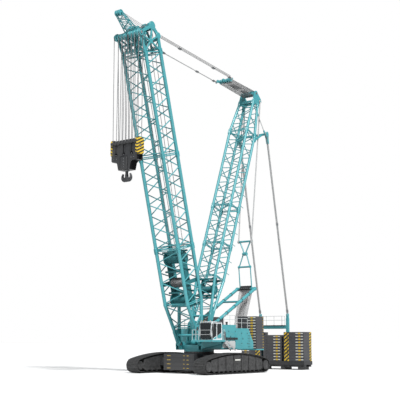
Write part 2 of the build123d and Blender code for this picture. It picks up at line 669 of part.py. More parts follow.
FRONT_PANES = (  # z of the upper and the lower front window
    (CAB_Z[0] + 560, CAB_Z[1] - 160),
    (CAB_Z[0] + 100, CAB_Z[0] + 420),
)
REAR_PANE_Z = (CAB_Z[0] + 780, CAB_Z[1] - 170)
PANE_T = 20.0


def shrink(outline, gap):
    """An outline drawn in by a gap, towards its middle."""
    cx = sum(x for x, _ in outline) / len(outline)
    cz = sum(z for _, z in outline) / len(outline)
    return [(x + gap * (1 if x < cx else -1), z + gap * (1 if z < cz else -1)) for x, z in outline]


shell = slab_xz(cab_outline, *CAB_Y) - slab_xz(inner_outline, CAB_Y[0] + CAB_WALL, CAB_Y[1] - CAB_WALL)
wall_ring = slab_xz(cab_outline, *CAB_Y) - slab_xz(inner_outline, CAB_Y[0] - 1, CAB_Y[1] + 1)
panes = []
pane_y, front_x = (FRONT_Y[0] + SEAT, FRONT_Y[1] - SEAT), (CAB_X[1] - 400, CAB_X[1] + 10)
for low, high in FRONT_PANES:
    panes.append(wall_ring & block(front_x, pane_y, (low + SEAT, high - SEAT)))
    shell -= block(front_x, FRONT_Y, (low, high))
for y0 in (CAB_Y[0], CAB_Y[1] - CAB_WALL):
    shell -= slab_xz(SIDE_PANE, y0 - 1, y0 + CAB_WALL + 1)
    panes.append(slab_xz(shrink(SIDE_PANE, SEAT), y0 + PANE_T, y0 + 2 * PANE_T))
shell -= block((CAB_X[0] - 1, CAB_X[0] + CAB_WALL + 1), FRONT_Y, REAR_PANE_Z)
rear_z = (REAR_PANE_Z[0] + SEAT, REAR_PANE_Z[1] - SEAT)
panes.append(block((CAB_X[0] + PANE_T, CAB_X[0] + 2 * PANE_T), pane_y, rear_z))
shell -= block(DOOR_X, (CAB_Y[1] - CAB_WALL - 1, CAB_Y[1] + 1), DOOR_Z)
HINGE = (DOOR_X[0] + 10, CAB_Y[1] + 34)
for z in (DOOR_Z[0] + 250, DOOR_Z[1] - 350):
    shell += block((DOOR_X[0] - 60, DOOR_X[0] - 4), (CAB_Y[1] - 20, HINGE[1] + 10), (z, z + 60))
    shell += block((DOOR_X[0] - 60, HINGE[0]), (CAB_Y[1] + DOOR_GAP, HINGE[1] + 10), (z, z + 60))
    shell += Pos(HINGE[0], HINGE[1], z + 50) * Cylinder(12, 100)
write("cab_shell", shell)
write("cab_glass", *panes)

door_x, door_z = (DOOR_X[0] + DOOR_GAP, DOOR_X[1] - DOOR_GAP), (DOOR_Z[0] + DOOR_GAP, DOOR_Z[1] - DOOR_GAP)
door = block(door_x, (CAB_Y[1] - CAB_WALL, CAB_Y[1]), door_z)
door -= slab_xz(DOOR_PANE, CAB_Y[1] - CAB_WALL - 1, CAB_Y[1] + 1)
for z in (DOOR_Z[0] + 250, DOOR_Z[1] - 350):
    leaf = block((HINGE[0] + 5, HINGE[0] + 120), (CAB_Y[1] - 10, HINGE[1] + 10), (z + 66, z + 106))
    leaf += Pos(HINGE[0], HINGE[1], z + 86) * Cylinder(30, 40)
    door += leaf - Pos(HINGE[0], HINGE[1], z + 86) * Cylinder(12 + RUN, 60)
handle_z = DOOR_Z[0] + 570
door += block((DOOR_X[1] - 120, DOOR_X[1] - 60), (CAB_Y[1] - 5, CAB_Y[1] + 50), (handle_z, handle_z + 40))
write("cab_door", door)
write("cab_door_glass", slab_xz(shrink(DOOR_PANE, SEAT), CAB_Y[1] - 2 * PANE_T, CAB_Y[1] - PANE_T))

seat_x, seat_y = 2400.0, (CAB_Y[0] + CAB_Y[1]) / 2
floor_z = CAB_Z[0] + CAB_WALL
seat = block((seat_x - 150, seat_x + 150), (seat_y - 150, seat_y + 150), (floor_z + SEAT, floor_z + 420))
seat += block((seat_x - 280, seat_x + 260), (seat_y - 260, seat_y + 260), (floor_z + 410, floor_z + 530))
seat += block((seat_x - 330, seat_x - 210), (seat_y - 240, seat_y + 240), (floor_z + 470, floor_z + 1270))
for y in (seat_y - 360, seat_y + 280):
    seat += block((seat_x - 100, seat_x + 380), (y, y + 80), (floor_z + 430, floor_z + 680))
    arm_y = (min(y, seat_y), max(y + 80, seat_y))
    seat += block((seat_x - 100, seat_x + 100), arm_y, (floor_z + 430, floor_z + 470))
write("operator_seat", seat)

# --- boom ------------------------------------------------------------------------------------
boom_r, mast_r = BOOM_CHORD / 2, MAST_CHORD / 2


def foot_fork(half_y, thick, taper, half_depth, radius, pin_r, length):
    """Both foot plates of a tapered strut, tied by a cross tube; returns the chord starts too."""
    slope = atan2(half_depth, taper)
    start_n = half_depth * length / taper
    corner = [(length - sign * radius * sin(slope), start_n + sign * radius * cos(slope)) for sign in (1, -1)]
    outline = [(0, 240), corner[0], corner[1]] + [(u, -n) for u, n in (corner[1], corner[0])] + [(0, -240)]
    body = across(0.62 * length, 0, 0.45 * radius + 50, -half_y, half_y)
    for side in (-1, 1):
        y0, y1 = on_side(side, half_y - thick / 2, half_y + thick / 2)
        body += slab_xz(outline, y0, y1) + across(0, 0, 250, y0, y1)
    for side in (-1, 1):
        body -= across(0, 0, pin_r + RUN, *on_side(side, half_y - thick, half_y + thick))
    return body, (length, start_n)


def tapered_section(wide, deep, taper, joint, radius, bay, width, foot):
    """The foot section: plates at the pins, chords that spread to full depth and the lacing."""
    body, (u0, n0) = foot
    slope = atan2(deep / 2, taper)
    pieces = [body]
    for sy in (-1, 1):
        for sn in (-1, 1):
            start = (u0 + SEAT * cos(slope), sy * wide / 2, sn * (n0 + SEAT * sin(slope)))
            bend = (taper, sy * wide / 2, sn * deep / 2)
            path = Polyline(start, bend, (joint - SEAT, sy * wide / 2, sn * deep / 2))
            profile = Plane(origin=start, z_dir=Vector(*bend) - Vector(*start)) * Circle(radius)
            pieces.append(sweep(profile, path=path, transition=Transition.RIGHT))
    clear = radius + SEAT
    flat, near, low, high = clear / cos(slope), u0 + 260, taper + 10, joint - SEAT
    depth = deep / 2 * near / taper
    half_deep, half_wide = deep / 2 - clear, wide / 2 - clear
    for side in (-1, 1):
        y, n, out = side * wide / 2, side * deep / 2, (0, -1, 0)
        lean = (-side * sin(slope), 0, cos(slope))
        pieces += panel((near, y, 0), (taper, y, 0), depth - flat, deep / 2 - flat, out, bay, width)
        pieces += panel((low, y, 0), (high, y, 0), half_deep, half_deep, out, bay, width)
        pieces += panel((near, 0, side * depth), (taper, 0, n), half_wide, half_wide, lean, bay, width)
        pieces += panel((low, 0, n), (high, 0, n), half_wide, half_wide, (0, 0, 1), bay, width)
    return pieces


boom_foot = foot_fork(foot_y, FOOT_W, BOOM_TAPER, BOOM_D / 2, boom_r, FOOT_PIN_R, 1500)
write("boom_butt", *[BOOM.place * s for s in
      tapered_section(BOOM_W, BOOM_D, BOOM_TAPER, BOOM_JOINTS[0], boom_r, BOOM_BAY, BOOM_LACE, boom_foot)])
starts = BOOM_JOINTS + (BOOM_END,)
for name, low, high in zip(("boom_insert_lower", "boom_top"), starts, starts[1:]):
    write(name, *[BOOM.place * s for s in lattice(low + SEAT, high - SEAT, BOOM_W, BOOM_W, BOOM_D, BOOM_D,
                                                  boom_r, BOOM_BAY, BOOM_LACE)])

head_outline = [
    (BOOM_END, -BOOM_D / 2 - boom_r),
    (NOSE_ALONG - 520, NOSE_OUT - 280),
    (NOSE_ALONG + 330, NOSE_OUT - 60),
    (NOSE_ALONG + 380, NOSE_OUT + 450),
    (GUIDE_ALONG + 260, GUIDE_OUT - 320),
    (GUIDE_ALONG + 180, GUIDE_OUT + 380),
    (STAY_ALONG, STAY_OUT - 310),
    (BOOM_END, BOOM_D / 2 + boom_r),
]
window = [(BOOM_END + 500, -900), (NOSE_ALONG - 470, -1100), (NOSE_ALONG - 70, 200),
          (STAY_ALONG - 300, 900), (BOOM_END + 500, 900)]
stay_lug = [(STAY_ALONG - 500, STAY_OUT - 550), (STAY_ALONG - 200, STAY_OUT - 550),
            (STAY_ALONG + 150, STAY_OUT), (STAY_ALONG - 150, STAY_OUT)]
head_tubes = (  # along, out, radius
    (BOOM_END + 260, -BOOM_D / 2, 150),
    (BOOM_END + 260, BOOM_D / 2, 150),
    (STAY_ALONG - 350, STAY_OUT - 550, 170),
    (*TIP_ROOT, 150),
)
head = None
for side in (-1, 1):
    y0, y1 = side * foot_y - HEAD_PLATE_T / 2, side * foot_y + HEAD_PLATE_T / 2
    plate = slab_xz(head_outline, y0, y1) + across(NOSE_ALONG, NOSE_OUT, 330, y0, y1)
    plate -= slab_xz(window, y0 - 1, y1 + 1)
    head = plate if head is None else head + plate
for u, n, radius in head_tubes:
    head += across(u, n, radius, -foot_y, foot_y)
for side in (-1, 1):
    y0, y1 = side * STAY_HALF - STAY_LUG_T / 2, side * STAY_HALF + STAY_LUG_T / 2
    head += slab_xz(stay_lug, y0, y1) + across(STAY_ALONG, STAY_OUT, 170, y0, y1)
    head -= across(STAY_ALONG, STAY_OUT, STAY_PIN_R + RUN, y0 - 1, y1 + 1)
head += across(GUIDE_ALONG, GUIDE_OUT, GUIDE_SHAFT_R, -foot_y, foot_y)
head -= across(NOSE_ALONG, NOSE_OUT, NOSE_PIN_R + RUN, -2 * foot_y, 2 * foot_y)
write("boom_head", BOOM.place * head)
GUIDE_Y = (-1100.0, -600.0, 600.0, 1100.0)
SHEAVE_Y = (-1650.0, -1050.0, -630.0, -210.0, 210.0, 630.0, 1050.0, 1650.0)
SHEAVE_T = 110.0


def sheave_rim(radius, bore, y, thick):
    """A sheave's profile from its bore over the grooved rim and back, as (radius, y) points."""
    low, high, floor = y - thick / 2, y + thick / 2, radius - 0.4 * thick
    return [(bore, low), (radius, low), (floor, y - 0.15 * thick), (floor, y + 0.15 * thick), (radius, high),
            (bore, high)]


def turned_y(profile):
    """A solid turned about Y at the origin, from (radius, y) points."""
    return Rot(-90, 0, 0) * revolve(make_face(Polyline(*[(r, 0, y) for r, y in profile], close=True)), Axis.Z)


def sheave_roll(radius, shaft, half, places, thick):
    """A shaft with sheaves on it, along Y about the origin."""
    rims = [point for y in places for point in sheave_rim(radius, shaft, y, thick)]
    return turned_y([(0, -half), (shaft, -half), *rims, (shaft, half), (0, half)])


def sheave(x, z, radius, bore, y, thick):
    """A loose grooved sheave at one place on a shaft along Y."""
    return Pos(x, 0, z) * turned_y(sheave_rim(radius, bore, y, thick))


guides = [sheave(GUIDE_ALONG, GUIDE_OUT, GUIDE_SHEAVE_R, GUIDE_SHAFT_R + SEAT, y, SHEAVE_T) for y in GUIDE_Y]
write("boom_guide_sheaves", *[BOOM.place * guide for guide in guides])
roll = sheave_roll(NOSE_SHEAVE_R, NOSE_PIN_R, NOSE_HALF, SHEAVE_Y, SHEAVE_T)
nose_x, nose_z = BOOM.at(NOSE_ALONG, NOSE_OUT)
write("nose_sheaves", Pos(nose_x, 0, nose_z) * roll)
link = [(nose_x - 110, nose_z), (nose_x + 110, nose_z),
        (nose_x + 70, nose_z - 620), (nose_x - 70, nose_z - 620)]
anchor = across(nose_x, nose_z, 180, -40, 40) + slab_xz(link, -40, 40)
write("rope_anchor", anchor - across(nose_x, nose_z, NOSE_PIN_R + RUN, -41, 41))

tip = None
for y in (-600, 600):
    leg = bar((TIP_ROOT[0] - 150, y, TIP_ROOT[1]), (TIP_TOP[0], y, TIP_TOP[1]), 80, 200)
    tip = leg if tip is None else tip + leg
tip += across(TIP_TOP[0], TIP_TOP[1], 60, -640, 640)
for y in (-400, 0, 400):
    tip += across(TIP_TOP[0], TIP_TOP[1], 330, y - 50, y + 50)
tip -= across(*TIP_ROOT, 150 + SEAT, -2000, 2000)
tip -= across(NOSE_ALONG, NOSE_OUT, NOSE_SHEAVE_R + SWING, -2000, 2000)
write("tip_strut", BOOM.place * tip)

# --- boom winch ------------------------------------------------------------------------------
drum_u = 6500.0
winch_body = across(drum_u, 0, 420, -900, 900)
for y in (-940, 900):
    winch_body += across(drum_u, 0, 600, y, y + 40)
cheek_n = BOOM_D / 2 - BOOM_LACE / 2 - SEAT
cheek_y = foot_y - sqrt(boom_r**2 - (BOOM_D / 2 - cheek_n)**2) - SEAT
winch_body += across(drum_u, 0, 110, -cheek_y + 50, cheek_y - 50)
for y in (-cheek_y, cheek_y - 90):
    winch_body += block((drum_u - 200, drum_u + 200), (y, y + 90), (-cheek_n, cheek_n))
write("boom_winch", BOOM.place * winch_body)

# --- mast ------------------------------------------------------------------------------------
mast_y = MAST_W / 2
mast_foot = foot_fork(mast_y, MAST_FOOT_W, MAST_TAPER, MAST_D / 2, mast_r, MAST_PIN_R, 1500)
write("mast_foot", *[MAST.place * s for s in
      tapered_section(MAST_W, MAST_D, MAST_TAPER, MAST_JOINTS[0], mast_r, MAST_BAY, MAST_LACE, mast_foot)])
starts = MAST_JOINTS + (MAST_END,)
for name, low, high in zip(("mast_lower", "mast_upper"), starts, starts[1:]):
    write(name, *[MAST.place * s for s in lattice(low + SEAT, high - SEAT, MAST_W, MAST_W, MAST_D, MAST_D,
                                                  mast_r, MAST_BAY, MAST_LACE)])
TOP_W, TOP_D = 2 * MAST_HEAD_HALF, 900.0
mast_top = lattice(MAST_END + SEAT, MAST_TOP_END - SEAT, MAST_W, TOP_W, MAST_D, TOP_D,
                   mast_r, MAST_BAY, MAST_LACE)
write("mast_top", *[MAST.place * s for s in mast_top])
back_u, back_n = MAST_BACK_PIN
top_half = TOP_D / 2 + mast_r
mast_plate = [(MAST_TOP_END, -top_half), (MAST_HEAD[0], MAST_HEAD[1] - 320), (MAST_HEAD[0] + 300, MAST_HEAD[1]),
              (back_u + 350, back_n + 250), (MAST_TOP_END, top_half)]
mast_head_tubes = (  # along, out, radius, half length
    (MAST_TOP_END + 180, -300, 120, MAST_HEAD_HALF),
    (MAST_TOP_END + 180, 350, 120, MAST_HEAD_HALF),
    (back_u, back_n, BACK_PIN_R, MAST_HEAD_HALF + 200),
)
mast_head = None
for side in (-1, 1):
    y0, y1 = side * MAST_HEAD_HALF - 50, side * MAST_HEAD_HALF + 50
    plate = slab_xz(mast_plate, y0, y1) + across(*MAST_HEAD, 320, y0, y1)
    mast_head = plate if mast_head is None else mast_head + plate
for u, n, radius, half in mast_head_tubes:
    mast_head += across(u, n, radius, -half, half)
mast_head -= across(*MAST_HEAD, NOSE_PIN_R + RUN, -2000, 2000)
write("mast_head", MAST.place * mast_head)

head_x, head_z = MAST.at(*MAST_HEAD)
TACKLE_Y = (-600.0, -300.0, 0.0, 300.0, 600.0)
MAST_SHEAVE_R = 330.0
mast_roll = sheave_roll(MAST_SHEAVE_R, NOSE_PIN_R, MAST_HEAD_HALF + 90, TACKLE_Y, SHEAVE_T)
write("mast_head_sheaves", Pos(head_x, 0, head_z) * mast_roll)

spreader = across(*SPREADER, SPREADER_R, -SPREADER_HALF - 120, SPREADER_HALF + 120)
base_n = MAST_D / 2 + mast_r
for side in (-1, 1):
    y = side * mast_y
    spreader += block((MAST_END - 700, MAST_END - 100), (y - 110, y + 110), (base_n + SEAT, base_n + 160))
    spreader += bar((MAST_END - 400, y, base_n + 90), (SPREADER[0], y, SPREADER[1]), 160, 220)
write("ballast_spreader", MAST.place * spreader)

# --- back stays ------------------------------------------------------------------------------
back_x, back_z = MAST.at(back_u, back_n)
BACK_Y = MAST_HEAD_HALF + 135
backs = []
for side in (-1, 1):
    top, low = (back_x, side * BACK_Y, back_z), (YOKE_TOP[0], side * YOKE_HALF, YOKE_TOP[1])
    stay = rod(top, low, STAY_R)
    stay += across(back_x, back_z, 190, *on_side(side, BACK_Y - 45, BACK_Y + 45))
    stay += across(*YOKE_TOP, 190, *on_side(side, YOKE_HALF - 75, YOKE_HALF + 75))
    stay -= across(back_x, back_z, BACK_PIN_R + SEAT, *on_side(side, 500, 1500))
    stay -= across(*YOKE_TOP, YOKE_PIN_R + SEAT, *on_side(side, 500, 1500))
    backs.append(stay)
write("backstays", *backs)


def vee(ends, half, apex, radius, pin):
    """Two bars from a cross bar's ends to a block on the middle pin."""
    body = across(*ends, radius, -half, half)
    body += across(*ends, pin, -half - 120, half + 120)
    for side in (-1, 1):
        body += rod((ends[0], side * (half - 90), ends[1]), (apex[0], side * 60, apex[1]), 75)
    return body


apex_low = (YOKE_PIN[0], YOKE_PIN[1] + 10)
upper = vee(YOKE_TOP, YOKE_HALF - 75 - SEAT, apex_low, 110, YOKE_PIN_R) + across(*YOKE_PIN, 200, -150, 150)
lower = across(*YOKE_LOW, 100, -LOW_HALF, LOW_HALF)
for side in (-1, 1):
    corner = (YOKE_LOW[0], side * (LOW_HALF - 60), YOKE_LOW[1])
    lower += rod(corner, (YOKE_PIN[0], side * 210, YOKE_PIN[1]), 65)
    lower += across(*YOKE_PIN, 190, *on_side(side, 150 + SEAT, 270))
    end = (LIVE_HEAD[0], side * LOW_HALF, LIVE_HEAD[1])
    lower += rod((YOKE_LOW[0], side * LOW_HALF, YOKE_LOW[1]), end, 60)
    eye_y = on_side(side, LOW_HALF - 50, LOW_HALF + 50)
    lower += across(*YOKE_LOW, 150, *eye_y) + across(*LIVE_HEAD, 210, *eye_y)
lower -= across(*LIVE_HEAD, LIVE_SHAFT_R + 35, -1000, 1000)
write("stay_yokes", upper, lower)

# --- live mast -------------------------------------------------------------------------------
LIVE = Strut(LIVE_FOOT, degrees(atan2(LIVE_HEAD[1] - LIVE_FOOT[1], LIVE_HEAD[0] - LIVE_FOOT[0])))
live_len = hypot(LIVE_HEAD[0] - LIVE_FOOT[0], LIVE_HEAD[1] - LIVE_FOOT[1])
legs = across(0.62 * live_len, 0, 110, -mast_y, mast_y)
legs += across(live_len, 0, LIVE_SHAFT_R, -mast_y - 60, mast_y + 60)
for side in (-1, 1):
    y = side * mast_y
    legs += rod((560, y, 0), (live_len - 60, y, 0), 175) + across(live_len, 0, 210, y - 90, y + 90)
    foot = across(0, 0, 230, y - MAST_FOOT_W / 2, y + MAST_FOOT_W / 2)
    foot += block((0, 600), (y - MAST_FOOT_W / 2, y + MAST_FOOT_W / 2), (-170, 170))
    legs += foot
    legs += across(live_len, 0, 200, *on_side(side, LOW_HALF + 110, LOW_HALF + 190))
for side in (-1, 1):
    legs -= across(0, 0, MAST_PIN_R + RUN, *on_side(side, 1000, 1500))
write("live_mast_legs", LIVE.place * legs)
live_sheaves = [sheave(live_len, 0, 380, LIVE_SHAFT_R + SEAT, y, 90) for y in (-560, -280, 0, 280, 560)]
write("live_mast_sheaves", *[LIVE.place * s for s in live_sheaves])

# --- boom stays ------------------------------------------------------------------------------
stay_x, stay_z = BOOM.at(STAY_ALONG, STAY_OUT)
STAY_Y = STAY_HALF + STAY_LUG_T / 2 + SWING + 55  # the bars pass outside the boom's lugs
stay_share = STAY_LENGTH / hypot(head_x - stay_x, head_z - stay_z)
EQUAL = (stay_x + (head_x - stay_x) * stay_share, stay_z + (head_z - stay_z) * stay_share)
equalizer = across(*EQUAL, EQUAL_PIN_R, -STAY_Y - 60, STAY_Y + 60)
cheek = [(EQUAL[0] - 480, EQUAL[1] - 130), (EQUAL[0] + 200, EQUAL[1] - 150), (EQUAL[0] + 420, EQUAL[1] + 30),
         (EQUAL[0] + 200, EQUAL[1] + 190), (EQUAL[0] - 480, EQUAL[1] + 70)]
for side in (-1, 1):
    for inner in (740, 20):
        equalizer += slab_xz(cheek, *on_side(side, inner, inner + 50))
sheave_at = (EQUAL[0] - 120, EQUAL[1] - 30)
for y in TACKLE_Y:
    half = 45 if y else 19  # the middle one fits between the inner cheeks
    equalizer += across(*sheave_at, 230, y - half, y + half)
equalizer += across(*sheave_at, 80, -790, 790)
write("equalizer", equalizer)
stays = []
for side in (-1, 1):
    ys = on_side(side, STAY_Y - 40, STAY_Y + 40)
    stay = rod((EQUAL[0], side * STAY_Y, EQUAL[1]), (stay_x, side * STAY_Y, stay_z), 55)
    for share in (0.27, 0.72):
        x, z = EQUAL[0] + (stay_x - EQUAL[0]) * share, EQUAL[1] + (stay_z - EQUAL[1]) * share
        stay += across(x, z, 110, *ys)
    stay += across(*EQUAL, 160, *ys) + across(stay_x, stay_z, 130, *ys)
    stay += across(stay_x, stay_z, STAY_PIN_R, *on_side(side, STAY_HALF - STAY_LUG_T / 2 - 40, STAY_Y))
    stays.append(stay - across(*EQUAL, EQUAL_PIN_R + SEAT, ys[0] - 30, ys[1] + 30))
write("boom_stays", *stays)

# --- ballast ---------------------------------------------------------------------------------
floor_z = (PALLET_Z[1] - 410, PALLET_Z[1] - SEAT)
tray = block((PALLET_X[0] - 60, PALLET_X[1] + 60), (-SIDE_Y[1] - 60, SIDE_Y[1] + 60), floor_z)
for x in (PALLET_X[0] + 250, PALLET_X[1] - 250):
    tray += block((x - 160, x + 160), (-SIDE_Y[1], SIDE_Y[1]), (floor_z[0] - 230, floor_z[0] + 40))
for y in (-SIDE_Y[1] + 610, -CENTRE_Y - 190, CENTRE_Y + 190, SIDE_Y[1] - 610):
    tray += block((PALLET_X[0] + 60, PALLET_X[1] - 60), (y - 260, y + 260), (PALLET_Z[0], floor_z[0] + 40))
write("pallet_tray", tray)
hang = []
for side in (-1, 1):
    y, post_x = side * HANGER_Y, (HANGER[0] - HANGER_W / 2, HANGER[0] + HANGER_W / 2)
    post = block(post_x, (y - 150, y + 150), (PALLET_Z[1], HANGER[1] - 420))
    for ear in (-1, 1):
        y0, y1 = sorted((y + ear * 52, y + ear * 112))
        post += block(post_x, (y0, y1), (HANGER[1] - 500, HANGER[1])) + across(*HANGER, HANGER_W / 2, y0, y1)
    post += across(*HANGER, HANGER_PIN_R, y - 130, y + 130)
    hang.append(post)
beam = block((HANGER[0] - 130, HANGER[0] + 130), (-HANGER_Y + 140, HANGER_Y - 140), BEAM_Z)
write("pallet_hanger", hang[0] + hang[1] + beam)

NOTCH_X = (HANGER[0] - HANGER_W / 2 - 30, HANGER[0] + HANGER_W / 2 + 30)
notch_y = HANGER_Y + 180
for side, name in ((1, "left"), (-1, "right")):
    y0, y1 = side * SIDE_Y[0], side * SIDE_Y[1]
    outline = [(PALLET_X[0], y0), (PALLET_X[0], y1), (PALLET_X[1], y1), (PALLET_X[1], y0), (NOTCH_X[1], y0),
               (NOTCH_X[1], side * notch_y), (NOTCH_X[0], side * notch_y), (NOTCH_X[0], y0)]
    write(f"ballast_stack_{name}", *stack(outline, PALLET_Z[1], LAYER_H, SIDE_LAYERS))
centre = rectangle(PALLET_X, (-CENTRE_Y, CENTRE_Y))
write("ballast_stack_centre", *stack(centre, PALLET_Z[1], LAYER_H, CENTRE_LAYERS))

walk_z = (BEAM_Z[1] - 60, BEAM_Z[1])
walk = block((HANGER[0] + 130 + SEAT, HANGER[0] + 830), (-1640, 1640), walk_z)
walk += railing([(HANGER[0] + 800, y, walk_z[1]) for y in (-1600, -530, 530, 1600)], 1050)
write("pallet_walkway", walk)

spread_x, spread_z = MAST.at(*SPREADER)
pend = []
for side in (-1, 1):
    top, low = (spread_x, side * SPREADER_HALF, spread_z), (HANGER[0], side * HANGER_Y, HANGER[1])
    pendant = rod(top, low, 50)
    pendant += across(spread_x, spread_z, 230, *on_side(side, SPREADER_HALF - 60, SPREADER_HALF + 60))
    pendant += across(*HANGER, 130, *on_side(side, HANGER_Y - 38, HANGER_Y + 38))
    pendant -= across(spread_x, spread_z, SPREADER_R + SEAT, *on_side(side, 1500, 2300))
    pend.append(pendant - across(*HANGER, HANGER_PIN_R + RUN, *on_side(side, 1500, 2300)))
write("ballast_pendants", *pend)

# --- hook block ------------------------------------------------------------------------------
axle = (nose_x, nose_z - HOIST_DROP)
block_bottom = axle[1] - BLOCK_LOW
hook_z = block_bottom - HOOK_LOW
block_body = None
block_x, block_z = (axle[0] - BLOCK_DEPTH, axle[0] + BLOCK_DEPTH), (axle[1] - 870, axle[1] + 880)
for y in (-BLOCK_HALF, BLOCK_HALF - 80):
    plate = block(block_x, (y, y + 80), block_z)
    plate = fillet(plate.edges().filter_by(Axis.Y), 260)
    block_body = plate if block_body is None else block_body + plate
for y in (-1300, -840, -420, 0, 420, 840, 1300):
    block_body += block((axle[0] - 200, axle[0] + 200), (y - 20, y + 20), (axle[1] - 950, axle[1] + 200))
for x in (axle[0] - 260, axle[0] + 200):
    cheek = [(-BLOCK_HALF, -800), (-BLOCK_HALF, -1070), (-1000, -BLOCK_LOW), (1000, -BLOCK_LOW),
             (BLOCK_HALF, -1070), (BLOCK_HALF, -800)]
    face = make_face(Polyline(*[(x, y, axle[1] + z) for y, z in cheek], close=True))
    block_body += extrude(face, amount=60, dir=(1, 0, 0))
block_body += block((axle[0] - 230, axle[0] + 230), (-1000, 1000), (block_bottom, block_bottom + 420))
for x, radius in ((400, 90), (-400, 60)):
    block_body += across(axle[0] + x, axle[1] + 560, radius, -BLOCK_HALF, BLOCK_HALF)
block_body += across(*axle, BLOCK_PIN_R, -BLOCK_HALF, BLOCK_HALF)
block_body -= Pos(axle[0], 0, block_bottom) * Cylinder(SHANK_R + RUN, 1400)
write("block_frame", block_body)
BLOCK_Y = (-1500, -1060, -630, -210, 210, 630, 1060, 1500)
write("block_sheaves", *[sheave(*axle, BLOCK_SHEAVE_R, BLOCK_PIN_R + SEAT, y, 100) for y in BLOCK_Y])


def horn(side):
    """One horn of the hook, as a strip that thins towards its tip."""
    steps, centre_y, centre_z = 10, side * HORN_R, hook_z + 60
    outer, inner = [], []
    for i in range(steps + 1):
        turn = radians(180 + 205 * i / steps)
        half = 200 - 150 * (i / steps)
        for rim, r in ((outer, HORN_R + half), (inner, HORN_R - half)):
            rim.append((axle[0], centre_y + side * r * cos(turn), centre_z + r * sin(turn)))
    face = make_face(Polyline(*outer, *reversed(inner), close=True))
    return extrude(face, amount=HOOK_T / 2, both=True, dir=(1, 0, 0))


shank_top = block_bottom + 560
hook = Pos(axle[0], 0, (hook_z + shank_top) / 2) * Cylinder(SHANK_R, shank_top - hook_z)
hook += Pos(axle[0], 0, block_bottom + 420 + SWING + 60) * Cylinder(SHANK_R + 38, 120)
hook += horn(1) + horn(-1)
write("hook", hook)
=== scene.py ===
"""Looks of a crawler crane with a lattice boom, a lattice derrick mast and a ballast pallet."""

import json
import logging
import math
from abc import ABC, abstractmethod
from contextlib import contextmanager
from dataclasses import dataclass, field
from enum import Enum
from typing import Callable, Iterable, Iterator, Sequence

import bpy
from mathutils import Matrix, Vector


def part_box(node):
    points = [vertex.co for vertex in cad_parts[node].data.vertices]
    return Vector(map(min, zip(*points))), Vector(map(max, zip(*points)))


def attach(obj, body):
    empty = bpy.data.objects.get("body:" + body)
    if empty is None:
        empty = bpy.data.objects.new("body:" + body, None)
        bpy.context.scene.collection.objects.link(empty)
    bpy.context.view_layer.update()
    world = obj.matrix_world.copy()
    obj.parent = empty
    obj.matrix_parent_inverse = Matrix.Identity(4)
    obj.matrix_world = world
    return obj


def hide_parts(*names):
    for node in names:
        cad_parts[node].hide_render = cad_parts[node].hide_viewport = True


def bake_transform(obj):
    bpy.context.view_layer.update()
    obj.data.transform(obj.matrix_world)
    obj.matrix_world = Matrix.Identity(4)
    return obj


LOG = logging.getLogger("crane")
Pair = tuple[float, float]
Point = tuple[float, float, float]
Piece = bpy.types.Object
Socket = bpy.types.NodeSocket
Node = bpy.types.Node
SMOOTH_BELOW = math.radians(35)  # edges sharper than this stay sharp
SIDES = (-1, 1)
CORNERS = ((-1, -1), (-1, 1), (1, -1), (1, 1))
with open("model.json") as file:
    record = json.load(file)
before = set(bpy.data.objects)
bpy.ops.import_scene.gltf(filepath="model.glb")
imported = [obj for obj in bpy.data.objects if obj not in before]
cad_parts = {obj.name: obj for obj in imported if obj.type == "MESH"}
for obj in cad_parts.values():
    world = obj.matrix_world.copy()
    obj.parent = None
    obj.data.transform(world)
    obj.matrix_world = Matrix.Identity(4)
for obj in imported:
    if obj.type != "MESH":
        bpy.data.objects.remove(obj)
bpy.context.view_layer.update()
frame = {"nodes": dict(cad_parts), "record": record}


# --- workshop: the few tools that every class models with ---
def deselect_all() -> None:
    """Leave edit mode and deselect every object."""
    if bpy.context.object and bpy.context.object.mode != "OBJECT":
        bpy.ops.object.mode_set(mode="OBJECT")
    bpy.ops.object.select_all(action="DESELECT")


def select_only(pieces: Sequence[Piece]) -> None:
    """Select these objects and make the first one active.

    Args:
        pieces: The objects to select.
    """
    deselect_all()
    for piece in pieces:
        piece.select_set(True)
    bpy.context.view_layer.objects.active = pieces[0]


@contextmanager
def editing() -> Iterator[None]:
    """Edit mode on the active piece, with all of it selected.

    Yields:
        Nothing, while edit mode lasts.
    """
    bpy.ops.object.mode_set(mode="EDIT")
    bpy.ops.mesh.select_all(action="SELECT")
    yield
    bpy.ops.object.mode_set(mode="OBJECT")


def settle(piece: Piece) -> Piece:
    """Put an object's place into its mesh and shade its round faces smooth.

    Args:
        piece: The object that was just modelled.

    Returns:
        The same object, at the origin, unturned and unscaled.
    """
    select_only([piece])
    bpy.ops.object.transform_apply(location=True, rotation=True, scale=True)
    bpy.ops.object.shade_smooth_by_angle(angle=SMOOTH_BELOW)
    return piece


def between(start: Point, end: Point) -> tuple[Vector, Vector, float]:
    """Middle, XYZ turn and length of a bar between two points.

    Args:
        start: One end.
        end: The other end.

    Returns:
        The middle, the Euler turn of a Z-long primitive and the length.
    """
    a, b = Vector(start), Vector(end)
    along = b - a
    turn = Vector((0, 0, 1)).rotation_difference(along).to_euler()
    return (a + b) / 2, turn, along.length


def tube(name: str, start: Point, end: Point, radius: float, sides: int, lip: float = 0.0) -> Piece:
    """A round bar, with its edges bevelled if asked.

    Args:
        name: Name of the new object.
        start: One end.
        end: The other end.
        radius: Outer radius.
        sides: Number of faces round it.
        lip: Width of the bevel, or none.

    Returns:
        The bar.
    """
    deselect_all()
    middle, turn, length = between(start, end)
    bpy.ops.mesh.primitive_cylinder_add(vertices=sides, radius=radius, depth=length, location=middle,
                                        rotation=turn)
    piece = bpy.context.object
    piece.name = name
    if lip:
        with editing():
            bpy.ops.mesh.bevel(offset=lip, segments=2, affect="EDGES")
    return settle(piece)


